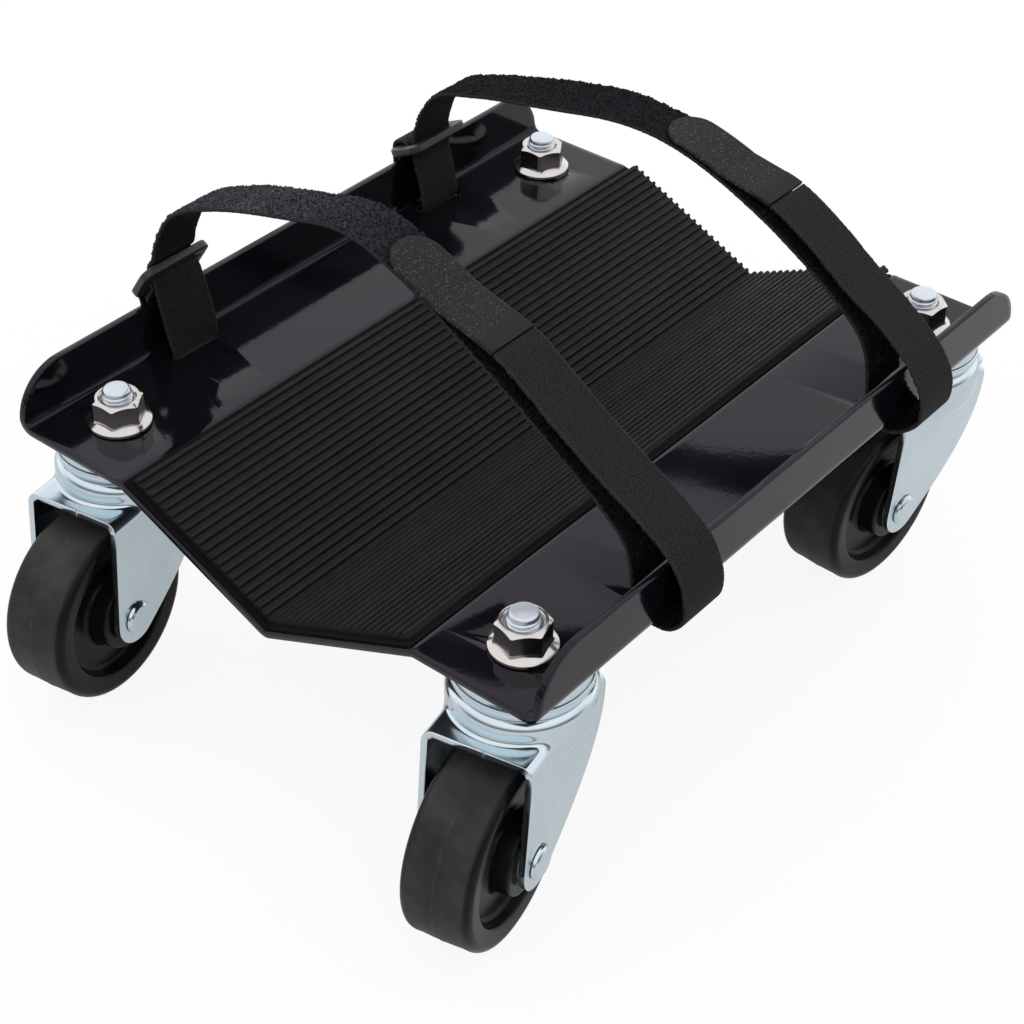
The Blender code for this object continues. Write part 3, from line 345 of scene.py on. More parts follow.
def fill_mesh(name, points, faces, uvs=None, marks=None):
    """A mesh of points and face arrays, with UVs at corners and a finish number on each face."""
    points = np.asarray(points, float).reshape(-1, 3)
    sides = np.concatenate([np.full(len(f), f.shape[1]) for f in faces])
    starts = np.concatenate(([0], np.cumsum(sides)[:-1]))
    corners = np.concatenate([f.ravel() for f in faces])
    mesh = bpy.data.meshes.new(name)
    mesh.vertices.add(len(points))
    mesh.loops.add(int(sides.sum()))
    mesh.polygons.add(len(sides))
    mesh.vertices.foreach_set("co", points.ravel())
    mesh.polygons.foreach_set("loop_start", starts.astype(np.int32))
    mesh.polygons.foreach_set("vertices", corners.astype(np.int32))
    mesh.update(calc_edges=True)
    if uvs is not None:
        layer = mesh.uv_layers.new(name="UVMap")
        layer.data.foreach_set("uv", np.concatenate([uv.reshape(-1) for uv in uvs]))
    if marks is not None:
        mesh.polygons.foreach_set("material_index", np.concatenate(marks).astype(np.int32))
    return mesh


def add_values(mesh, name, values, repeats):
    """A value for each point of a mesh, the same for a number of points that follow each other."""
    layer = mesh.attributes.new(name, "FLOAT", "POINT")
    layer.data.foreach_set("value", np.repeat(values, repeats).astype(np.float32))


def facing(points, faces):
    """1 where a closed form's faces point outwards, else -1: the sign of its summed volume."""
    points = points.reshape(-1, 3)
    volume = 0.0
    for f in faces:
        for k in range(1, f.shape[1] - 1):
            a, b, c = points[f[:, 0]], points[f[:, k]], points[f[:, k + 1]]
            volume += np.einsum("ij,ij->", a, np.cross(b, c))
    return 1 if volume >= 0 else -1


def outward(points, faces):
    """The faces of a closed form, turned outwards."""
    side = facing(points, faces)
    return [f[:, ::side] for f in faces]


def placed(points, place):
    """Points moved by a 4 by 4 matrix."""
    matrix = np.array(place, float)
    return points @ matrix[:3, :3].T + matrix[:3, 3]


def turned(profile, segments, place, closed=True):
    """A half section of (radius, height) points carried round the axis, flat-ended where open."""
    count = len(profile)
    angle = np.arange(segments) * math.tau / segments
    r, h = profile[:, :1], profile[:, 1:]
    points = np.stack((r * np.cos(angle), r * np.sin(angle), h + 0 * angle), -1)
    faces = [quads(count, segments, wrap_rows=closed, wrap_cols=True)[0]]
    if not closed:
        ring = np.arange(segments)[None, :]
        faces += [ring[:, ::-1], ring + (count - 1) * segments]
    points = placed(points.reshape(-1, 3), place)
    return points, outward(points, faces)


def prism(outline, low, high):
    """A closed upright prism over an outline in XY."""
    count = len(outline)
    points = np.column_stack((np.vstack((outline, outline)), np.repeat([low, high], count)))
    index, _ = quads(2, count, wrap_cols=True)
    ring = np.arange(count)[None, :]
    return points, outward(points, [index, ring[:, ::-1], ring + count])


def joined(solids):
    """Several closed solids as one list of points and faces."""
    points, faces, first = [], [], 0
    for p, f in solids:
        points.append(p)
        faces += [array + first for array in f]
        first += len(p)
    return np.vstack(points), faces


def formed(mesh, openings, thick, offset, edge, segments):
    """A sheet given its thickness, its openings and its rounded edges, worked out and kept."""
    work, tool = (bpy.data.objects.new(m.name, m)
                  for m in (mesh, fill_mesh("openings", *joined(openings))))
    for obj in (work, tool):
        bpy.context.scene.collection.objects.link(obj)
    modifiers = {
        "SOLIDIFY": {"thickness": thick, "offset": offset, "use_even_offset": True},
        "BOOLEAN": {"operation": "DIFFERENCE", "solver": "EXACT", "object": tool},
        "BEVEL": {"width": edge, "segments": segments, "limit_method": "ANGLE",
                  "angle_limit": ROUNDED_FROM, "harden_normals": True},
    }
    for kind, settings in modifiers.items():
        modifier = work.modifiers.new(kind.title(), kind)
        for key, value in settings.items():
            setattr(modifier, key, value)
    bpy.context.view_layer.update()
    graph = bpy.context.evaluated_depsgraph_get()
    result = bpy.data.meshes.new_from_object(work.evaluated_get(graph))
    for obj in (work, tool):
        bpy.data.objects.remove(obj, do_unlink=True)
    return result


def add_piece(name, mesh, finishes, body, nodes, sharp=30.0):
    """A finished piece at the origin that rides on a body and stands for the frame's nodes."""
    mesh.name = name
    for finish in finishes:
        mesh.materials.append(finish)
    mesh.shade_smooth()
    mesh.set_sharp_from_angle(angle=math.radians(sharp))
    piece = bpy.data.objects.new(name, mesh)
    bpy.context.scene.collection.objects.link(piece)
    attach(piece, body)
    if nodes:
        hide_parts(*nodes)


# Finishes


class Nodes:
    """The nodes of a material or a world."""

    def __init__(self, owner):
        owner.use_nodes = True
        self.tree = owner.node_tree

    def link(self, source, target):
        """Join an output to a socket, or set the socket where the source is a plain value."""
        if isinstance(source, bpy.types.NodeSocket):
            self.tree.links.new(source, target)
        else:
            target.default_value = source

    def node(self, kind, inputs=(), **settings):
        """A shader node with its settings and inputs filled in."""
        node = self.tree.nodes.new("ShaderNode" + kind)
        for key, value in settings.items():
            setattr(node, key, value)
        for key, value in dict(inputs).items():
            self.link(value, node.inputs[key])
        return node

    def math(self, operation, a, b=0.0):
        """One sum, product or other operation."""
        return self.node("Math", {0: a, 1: b}, operation=operation).outputs[0]

    def span(self, value, low, high, to_low=0.0, to_high=1.0, **settings):
        """A value carried from one range to another and held there."""
        names = ("Value", "From Min", "From Max", "To Min", "To Max")
        inputs = dict(zip(names, (value, low, high, to_low, to_high)))
        return self.node("MapRange", inputs, **settings).outputs["Result"]


class Finish(Nodes):
    """A procedural finish: a Principled surface and the nodes that vary it."""

    def __init__(self, name, roughness, metallic=0.0, **sockets):
        self.material = bpy.data.materials.new(name)
        super().__init__(self.material)
        self.shader = self.tree.nodes["Principled BSDF"]
        values = {"Roughness": roughness, "Metallic": metallic, **sockets}
        for socket, value in values.items():
            self.shader.inputs[socket].default_value = value
        self.coords = self.node("TexCoord").outputs

    def scaled(self, scale, source="UV"):
        """UV or Object coordinates, scaled."""
        inputs = {"Vector": self.coords[source], "Scale": scale}
        return self.node("Mapping", inputs).outputs["Vector"]

    def noise(self, scale, detail=3.0, rough=0.55, where=None):
        """Noise between 0 and 1."""
        where = where or self.coords["Object"]
        inputs = {"Vector": where, "Scale": scale, "Detail": detail, "Roughness": rough}
        return self.node("TexNoise", inputs).outputs["Fac"]

    def cells(self, scale, where=None, random=1.0):
        """Distance to scattered cell points."""
        where = where or self.coords["Object"]
        inputs = {"Vector": where, "Scale": scale, "Randomness": random}
        return self.node("TexVoronoi", inputs).outputs["Distance"]

    def value_of(self, name):
        """A value that the mesh carries at its points."""
        return self.node("Attribute", attribute_name=name).outputs["Fac"]

    def blend(self, factor, first, second):
        """A colour between two colours."""
        node = self.node("Mix", {0: factor}, data_type="RGBA")
        rgba = [s for s in node.inputs if s.type == "RGBA"]
        for value, socket in zip((first, second), rgba):
            self.link((*value, 1.0) if isinstance(value, tuple) else value, socket)
        return [s for s in node.outputs if s.type == "RGBA"][0]

    def tint(self, factor, base, low, high):
        """A colour between a darker and a lighter shade of a base."""
        return self.blend(factor, shade(base, low), shade(base, high))

    def bump(self, height, strength, distance, under=None):
        """A surface normal tilted by a height."""
        inputs = {"Height": height, "Strength": strength, "Distance": distance}
        if under is not None:
            inputs["Normal"] = under
        return self.node("Bump", inputs).outputs["Normal"]

    def use(self, base, roughness, normal):
        """Feed the shader."""
        for source, socket in ((base, "Base Color"), (roughness, "Roughness"), (normal, "Normal")):
            if source is not None:
                self.link(source, self.shader.inputs[socket])
        return self.material


def shade(base, factor):
    """A colour made lighter or darker."""
    return tuple(min(1.0, float(c) * factor) for c in base)


def once(maker):
    """Keep one material per finish, made when it is first asked for."""
    def finish(name=maker.__name__):
        return bpy.data.materials.get(name) or maker(name, bpy.context.scene.dolly_finish)
    return finish


@once
def gloss_paint(name, colours):
    """Powder coat: an even gloss over a fine orange peel, with faint cloudiness and dust."""
    f = Finish(name, 0.09, **{"IOR": 1.37, "Specular Tint": (0.93, 0.86, 1.0, 1.0)})
    dust = f.span(f.cells(62.0), 0.006, 0.014, 1.0, 0.0)
    base = f.tint(f.span(f.noise(9.0, 4.0), 0.3, 0.7), colours.paint, 0.85, 1.2)
    base = f.blend(f.math("MULTIPLY", dust, 0.10), base, (0.45, 0.44, 0.43))
    gloss = f.span(f.noise(24.0, 5.0), 0.35, 0.75, 0.07, 0.12)
    rough = f.math("ADD", gloss, f.math("MULTIPLY", dust, 0.3))
    peel = f.bump(f.noise(420.0, 2.0, 0.45), 0.055, 0.0004)
    return f.use(base, rough, f.bump(f.noise(70.0, 1.0), 0.030, 0.0010, peel))


@once
def ribbed_rubber(name, colours):
    """Moulded rubber: matte, with a fine grain and faint paler scuffs."""
    f = Finish(name, 0.6, **{"Specular IOR Level": 0.20})
    base = f.tint(f.span(f.noise(14.0, 5.0), 0.35, 0.75), colours.mat, 0.8, 1.25)
    scuff = f.span(f.noise(90.0, 6.0, 0.7), 0.62, 0.78, 0.0, 0.35)
    base = f.blend(scuff, base, shade(colours.mat, 2.2))
    rough = f.span(f.noise(160.0, 3.0), 0.3, 0.7, 0.50, 0.64)
    return f.use(base, rough, f.bump(f.noise(2600.0, 2.0), 0.22, 0.0002))


@once
def rough_underlay(name, colours):
    """Near-black layer under the mat, also seen beside it: dull and granular."""
    f = Finish(name, 0.95, **{"Specular IOR Level": 0.18})
    grain = f.noise(1500.0, 4.0, 0.7)
    base = f.tint(f.span(grain, 0.45, 0.7), colours.underlay, 0.6, 2.4)
    return f.use(base, None, f.bump(grain, 0.9, 0.0008))


def weave_height(f, along, across):
    """Checkered weave from UV lengths: a sine wave along the band times one across it."""
    where = f.node("SeparateXYZ", {"Vector": f.coords["UV"]}).outputs
    waves = (f.math("SINE", f.math("MULTIPLY", where[axis], math.tau / size))
             for axis, size in (("X", along), ("Y", across)))
    return f.math("MULTIPLY", *waves), where


@once
def woven_face(name, colours):
    """Woven face of the webbing: a fine checkered weave with uneven threads, painted shade in its
    gaps and a painted highlight along the strap's edges.
    """
    f = Finish(name, 0.78, **{"Specular IOR Level": 0.22})
    weave, where = weave_height(f, 0.00150, 0.00130)
    thread = f.noise(1.0, 2.0, 0.7, f.scaled((1100.0, 1400.0, 1.0)))
    # painted shade: the weave's gaps are coloured darker than the thread tops
    level = f.span(weave, -0.30, 0.55)
    mixed = f.math("MULTIPLY", level, f.span(thread, 0.36, 0.64, 0.10, 1.0))
    base = f.tint(mixed, colours.webbing, 0.10, 4.4)
    # painted highlight: the strap's edges are coloured lighter, standing in for the light line
    # they catch
    edge_highlight = f.span(f.math("ABSOLUTE", where["Y"]), 0.01105, 0.01122, 0.0, 0.40)
    base = f.blend(edge_highlight, base, shade(colours.webbing, 5.0))
    height = f.math("ADD", level, f.math("MULTIPLY", thread, 0.4))
    return f.use(base, f.span(thread, 0.3, 0.7, 0.66, 0.84), f.bump(height, 0.65, 0.00022))


@once
def loop_pile(name, colours):
    """Loop pile: painted shade between the loops, bluish tips, and painted light where light falls
    on it.
    """
    f = Finish(name, 0.9, **{"Specular IOR Level": 0.10})
    tuft = f.noise(950.0, 3.0, 0.75)
    # painted light: the pile's tips are coloured lighter where light falls on the strap
    tips = f.tint(f.value_of("nap"), colours.pile, 2.3, 9.6)
    # painted shade: the pile is coloured darker between the loops
    base = f.blend(f.span(tuft, 0.38, 0.64), shade(colours.pile, 0.10), tips)
    patch = f.span(f.noise(120.0, 4.0), 0.35, 0.65, 0.25, 0.0)
    base = f.blend(patch, base, shade(colours.pile, 0.5))
    return f.use(base, None, f.bump(tuft, 0.8, 0.0006))


@once
def hook_back(name, colours):
    """Back of the hook tape: a close weave with rows of small pale stitch dots past the weld."""
    f = Finish(name, 0.7, **{"Specular IOR Level": 0.30})
    weave, where = weave_height(f, 0.00150, 0.00150)
    dot = f.span(f.cells(1.0, f.scaled((900.0, 760.0, 1.0)), 0.6), 0.20, 0.38, 1.0, 0.0)
    lone = f.span(f.noise(1.0, 2.0, 0.7, f.scaled((700.0, 700.0, 1.0))), 0.38, 0.62)
    welded = f.span(where["X"], 0.0075, 0.0085)
    dot = f.math("MULTIPLY", f.math("MULTIPLY", dot, lone), welded)
    level = f.span(weave, -0.7, 0.9)
    # painted shade: the weave's gaps are coloured darker between the threads
    base = f.tint(level, colours.hook, 0.12, 1.7)
    raised = f.math("MULTIPLY", dot, 0.8)
    base = f.blend(raised, base, shade(colours.hook, 7.5))
    height = f.math("ADD", f.math("MULTIPLY", level, welded), raised)
    return f.use(base, f.span(dot, 0.0, 1.0, 0.72, 0.42), f.bump(height, 0.6, 0.00022))


@once
def moulded_ring(name, colours):
    """Moulded plastic: satin with a fine spark-eroded grain."""
    f = Finish(name, 0.42, **{"IOR": 1.47})
    base = f.tint(f.noise(60.0, 4.0), colours.ring, 0.75, 1.3)
    rough = f.span(f.noise(300.0, 4.0), 0.3, 0.7, 0.36, 0.50)
    return f.use(base, rough, f.bump(f.noise(3000.0, 2.0), 0.10, 0.0002))


# Metal finishes: their colour, lowest and highest roughness, and the scale of their streaks, which
# are drawn along the pressed legs and round the nuts and studs.
PLATES = {
    "zinc_plate": ("zinc", 0.13, 0.20, (300.0, 300.0, 40.0)),
    "bright_plate": ("bright", 0.12, 0.20, (160.0, 160.0, 900.0)),
    "stud_plate": ("stud", 0.28, 0.40, (160.0, 160.0, 900.0)),
    "plain_steel": ("steel", 0.18, 0.36, (500.0, 500.0, 500.0)),
}


@once
def plated(name, colours):
    """Plate: cool metal with cloudy tints, faint drawn streaks and an uneven satin gloss."""
    key, low, high, drawn = PLATES[name]
    base = tuple(getattr(colours, key))
    f = Finish(name, 0.3, 1.0)
    warm = shade((base[0] * 1.02, base[1], base[2] * 0.985), 1.03)
    tint = f.blend(f.span(f.noise(38.0, 3.0), 0.35, 0.7), shade(base, 0.95), warm)
    streak = f.noise(1.0, 3.0, 0.5, f.scaled(drawn, "Object"))
    tint = f.blend(f.span(streak, 0.5, 0.85, 0.0, 0.25), tint, shade(base, 0.88))
    cloud = f.math("MULTIPLY", f.noise(60.0, 3.0), 0.7)
    gloss = f.math("ADD", f.math("MULTIPLY", streak, 0.3), cloud)
    normal = f.bump(f.noise(90.0, 2.0), 0.018, 0.0006)
    return f.use(tint, f.span(gloss, 0.35, 0.65, low, high), normal)


@once
def wheel_rubber(name, colours):
    """Hard rubber: dull black sides, a tread coloured lighter grey in patches as painted light,
    and a brownish mould line round it.
    """
    f = Finish(name, 0.35, **{"Specular IOR Level": 0.14})
    cloud = f.span(f.noise(26.0, 5.0, 0.6), 0.35, 0.7)
    base = f.tint(cloud, colours.tyre, 0.8, 1.3)
    run = f.value_of("tread")
    # painted light: the running face is coloured lighter grey, in uneven patches
    lit_tread = f.math("MULTIPLY", run, f.span(f.noise(42.0, 5.0, 0.65), 0.3, 0.7, 0.25, 1.0))
    base = f.blend(lit_tread, base, tuple(colours.tread))
    broken = f.span(f.noise(160.0, 4.0), 0.42, 0.66, 0.0, 0.55)
    line = f.math("MULTIPLY", f.value_of("mould_line"), broken)
    base = f.blend(line, base, tuple(colours.flash))
    rough = f.math("ADD", f.span(cloud, 0.0, 1.0, 0.24, 0.34), f.math("MULTIPLY", run, 0.22))
    grain = f.bump(f.noise(1600.0, 3.0), 0.04, 0.0003)
    return f.use(base, rough, f.bump(f.noise(130.0, 2.0), 0.025, 0.0008, grain))


# Deck and mat


def deck_section(deck, half_width, top):
    """Middle line of the sheet: flange, flat, slope, slope, flat, flange, an arc at each fold."""
    middle = deck.sheet / 2
    wall, flat, edge = half_width - middle, top - middle, top + deck.flange_rise
    fold = deck.trough_width / 2
    corners = [(-wall, edge), (-wall, flat), (-fold, flat), (0.0, flat - deck.trough_depth)]
    corners += [(fold, flat), (wall, flat), (wall, edge)]
    radius = deck.fold_radius + middle
    path = rounded_path(corners, [0] + [radius] * 5 + [0], 8, 0.0012)[1:-1]
    rise = path[0, 1] + (edge - path[0, 1]) * np.sin(np.linspace(0, math.pi / 2, 26)[1:])
    left = np.column_stack((np.full(25, -wall), rise[::-1]))
    return np.vstack((left, path, left[::-1] * (-1, 1)))


def deck_mesh(deck, strap, caster):
    """Section times length, thickened, with bolt holes and strap slots cut and edges rounded.

    Each row's half length is the deck's, drawn in by a circle's height round the flange corners.
    """
    half_width, half_length, middle_y, top = deck_place()
    path = deck_section(deck, half_width, top)
    corner = deck.flange_corner
    above = np.maximum(path[:, 1] - (top + deck.flange_rise - corner), 0.0)
    reach = half_length - corner + np.sqrt(np.maximum(corner ** 2 - above ** 2, 0.0))
    across = end_steps(0.985, 24)
    y = middle_y + reach[:, None] * across
    points = np.stack((path[:, :1] + 0 * y, y, path[:, 1:] + 0 * y), -1)
    mesh = fill_mesh("deck_sheet", points, [quads(len(path), len(across))[0]])
    wide, long = deck.slot_width / 2, deck.slot_length / 2
    slot = rounded_path([(-wide, -long), (wide, -long), (wide, long), (-wide, long)],
                        [deck.slot_width * 0.45] * 4, 5, 0.0, closed=True)
    outlines = []
    for side, place in ((-1, 0), (1, -1)):
        for name, end in STRAP_ENDS:
            drift = STRAP_SHAPES[name]["skew"][place][1]
            slot_y = middle_y + end * (half_length - strap.end_inset) + drift
            outlines.append(slot + (side * (half_width - deck.slot_inset), slot_y))
    outlines += [hole(point, caster.stud_radius + STUD_ROOM) for _, point, _, _ in caster_places()]
    openings = [prism(outline, top - 2 * deck.sheet, top + deck.sheet) for outline in outlines]
    return formed(mesh, openings, deck.sheet, 0.0, deck.edge_round, 3)


def mirrored_section(points):
    """A right half section joined to its mirror image, from the left edge to the right one."""
    return np.vstack((points[:0:-1] * (-1, 1), points))


def strip_solid(name, upper, under, y):
    """A closed band between an upper and an under line, carried along Y and capped."""
    loop = np.vstack((upper, under[::-1]))
    count = len(loop)
    x, z = loop[None, :, 0], loop[None, :, 1]
    points = np.stack((x + 0 * y, y + 0 * x, z + 0 * y), -1)
    index, _ = quads(len(y), count, wrap_cols=True)
    i = np.arange(len(upper) - 1)
    cap = np.column_stack((i, i + 1, count - 2 - i, count - 1 - i))
    faces = outward(points, [index, cap[:, ::-1], cap + (len(y) - 1) * count])
    return fill_mesh(name, points, faces)


def mat_parts(deck, rib_steps=18, rows=260):
    """The ribbed mat and its underlay.

    On a slope the mat's height is its base plus the rib height times a rounded trapezoid of the
    distance from the nearest rib, and both slopes meet where x is 0.
    """
    _, half_length, middle_y, top = deck_place()
    run = math.hypot(deck.trough_width / 2, deck.trough_depth)
    along = np.array((deck.trough_width / 2, deck.trough_depth)) / run
    lift = np.array((-along[1], along[0]))
    foot = np.array((0.0, top - deck.trough_depth + deck.sheet / 2 * (1 / along[0] - 1)))
    slope = math.atan2(along[1], along[0])
    lean = math.tan(slope)

    def layer(distance, height):
        return foot + distance[:, None] * along + height[:, None] * lift

    base, pitch, width = GAP + deck.mat_base, deck.rib_pitch, deck.rib_width
    start = base * lean + deck.mat_crease
    last = start + (deck.ribs - 1) * pitch + width
    steps = np.linspace(start - pitch / 2 + width / 2, last + 0.0002, deck.ribs * rib_steps + 1)
    off = (steps - start - width / 2 + pitch / 2) % pitch - pitch / 2
    rib = smooth_step((width / 2 - np.abs(off)) / 0.00055 + 0.10)
    rib *= 1 - 0.10 * (off / (width / 2)) ** 2
    heights = base + deck.rib_height * rib
    crease = np.array([[0.0, foot[1] + base / along[0]]])
    keep = steps > base * lean + 0.0002
    edge, soft = last + 0.0007, 0.0005
    turn = np.linspace(0.2, math.pi / 2, 5)
    side = layer(edge - soft + soft * np.sin(turn), base - soft + soft * np.cos(turn))
    upper = mirrored_section(np.vstack((crease, layer(steps[keep], heights[keep]), side)))
    bottom, count = deck.underlay, len(upper) // 2 + 1
    under = layer(np.linspace(bottom * lean, edge, count), np.full(count, bottom))
    reach = half_length - deck.mat_end
    y = middle_y + deck.mat_shift + reach * end_steps(0.992, 40)[:, None]
    ribbed = strip_solid("mat_ribbed", upper, mirrored_section(under), y)

    margin, count = last + deck.mat_margin, 64
    spread = np.linspace(0.0, 1.0, count)
    over = layer(bottom * lean + (margin - bottom * lean) * spread,
                 np.full(count, bottom - 0.00005))
    below = layer(GAP * lean + (margin - GAP * lean) * spread, np.full(count, GAP * 0.5))
    over[-1] -= lift * 0.0003
    fold = deck.fold_radius * math.tan(slope / 2) * 1.2
    below[:, 1] += np.maximum(fold - np.abs(below[:, 0]), 0.0) * 0.12
    y = middle_y + (half_length - 0.0008) * np.linspace(-1, 1, rows)[:, None]
    sections = mirrored_section(over), mirrored_section(below)
    return ribbed, strip_solid("mat_underlay", *sections, y)


class DOLLY_OT_deck(bpy.types.Operator):
    """Fold the painted deck sheet"""

    bl_idname = "dolly.deck"
    bl_label = "Deck"

    def execute(self, context):
        scene = context.scene
        mesh = deck_mesh(scene.dolly_deck, scene.dolly_strap, scene.dolly_caster)
        add_piece("deck_sheet", mesh, [gloss_paint()], "deck", ["deck_plate"])
        return {"FINISHED"}


class DOLLY_OT_mat(bpy.types.Operator):
    """Lay the ribbed mat and its underlay in the trough"""

    bl_idname = "dolly.mat"
    bl_label = "Mat"

    def execute(self, context):
        ribbed, underlay = mat_parts(context.scene.dolly_deck)
        add_piece("mat_ribbed", ribbed, [ribbed_rubber()], "deck", ["rubber_mat"],
                  50.0)
        add_piece("mat_underlay", underlay, [rough_underlay()], "deck", [])
        return {"FINISHED"}


# Straps and rings

# Ring is its tilt, and its lower bar's place beyond the flange's face and above the flange's edge.
# Leave points follow the strap past the upper bar, in shares of the bar's width. Left, right and
# over points are a distance in from the flange face and a height above the flat top, and crest
# points are from the middle. Lifts and the lap are distances along the first layer from the right
# slot. Skew is a drift in Y and roll a lean of the band, both given along the run, which is 0 at
# the tail, 1 past the ring, 2 at the right slot and 3 at the seam. Painted light is given along
# the run as well: how much lighter the pile is coloured where light falls on the front strap's
# exposed arch. Pivot moves the line that the roll turns about to an edge.
STRAP_SHAPES = {
    "front": {
        "ring": (math.radians(34.0), 0.0020, 0.0050),
        "leave": [(0.32, 0.0006), (1.0, 0.0001)],
        "left": [(0.0066, 0.0495), (0.0176, 0.0670), (0.0420, 0.0798), (0.0800, 0.0912)],
        "crest": [(-0.0180, 0.0970)],
        "right": [(0.1160, 0.0878), (0.0690, 0.0612), (0.0290, 0.0345), (0.0168, 0.0225)],
        "over": (0.0130, 0.0368),
        "lifts": [(0.0410, 0.0098), (0.0630, 0.0082), (0.0880, 0.0090), (0.0985, 0.0092)],
        "lap": (0.1290, 0.1570),
        "bulge": 0.0092,
        "sag": 0.0016,
        "skew": [(0.0, 0.0022), (1.0, 0.0022), (1.5, 0.0010), (2.0, 0.0002)],
        "roll": [(0.62, 0.0), (0.72, -0.0016), (0.86, -0.0016), (0.95, 0.0)],
        "pivot": 0.0,
        # painted light: the pile is coloured lighter over the front strap's exposed arch
        "nap": [(0.98, 0.0), (1.04, 1.0), (1.25, 1.0), (1.55, 0.0)],
    },
    "rear": {
        "ring": (math.radians(65.0), 0.0003, 0.0043),
        "leave": [(0.24, 0.0022)],
        "left": [(0.0088, 0.0405), (0.0118, 0.0480), (0.0200, 0.0585), (0.0430, 0.0664),
                 (0.0800, 0.0740)],
        "crest": [(-0.0090, 0.0808)],
        "right": [(0.1080, 0.0785), (0.0700, 0.0645), (0.0310, 0.0400), (0.0180, 0.0265)],
        "over": (0.0130, 0.0380),
        "lifts": [(0.0480, 0.0074), (0.0670, 0.0076), (0.0830, 0.0076), (0.0920, 0.0068)],
        "lap": (0.1130, 0.1450),
        "bulge": 0.0104,
        "sag": 0.0038,
        "skew": [(0.0, 0.0)],
        "roll": [(1.12, 0.0), (1.21, 0.0005), (1.31, 0.0014), (1.39, 0.0012), (1.43, 0.0006),
                 (1.47, 0.0), (2.02, 0.0), (2.05, 0.0014), (2.12, 0.0014), (2.16, 0.0)],
        "pivot": 1.0,
        "nap": [(0.0, 0.0)],
    },
}


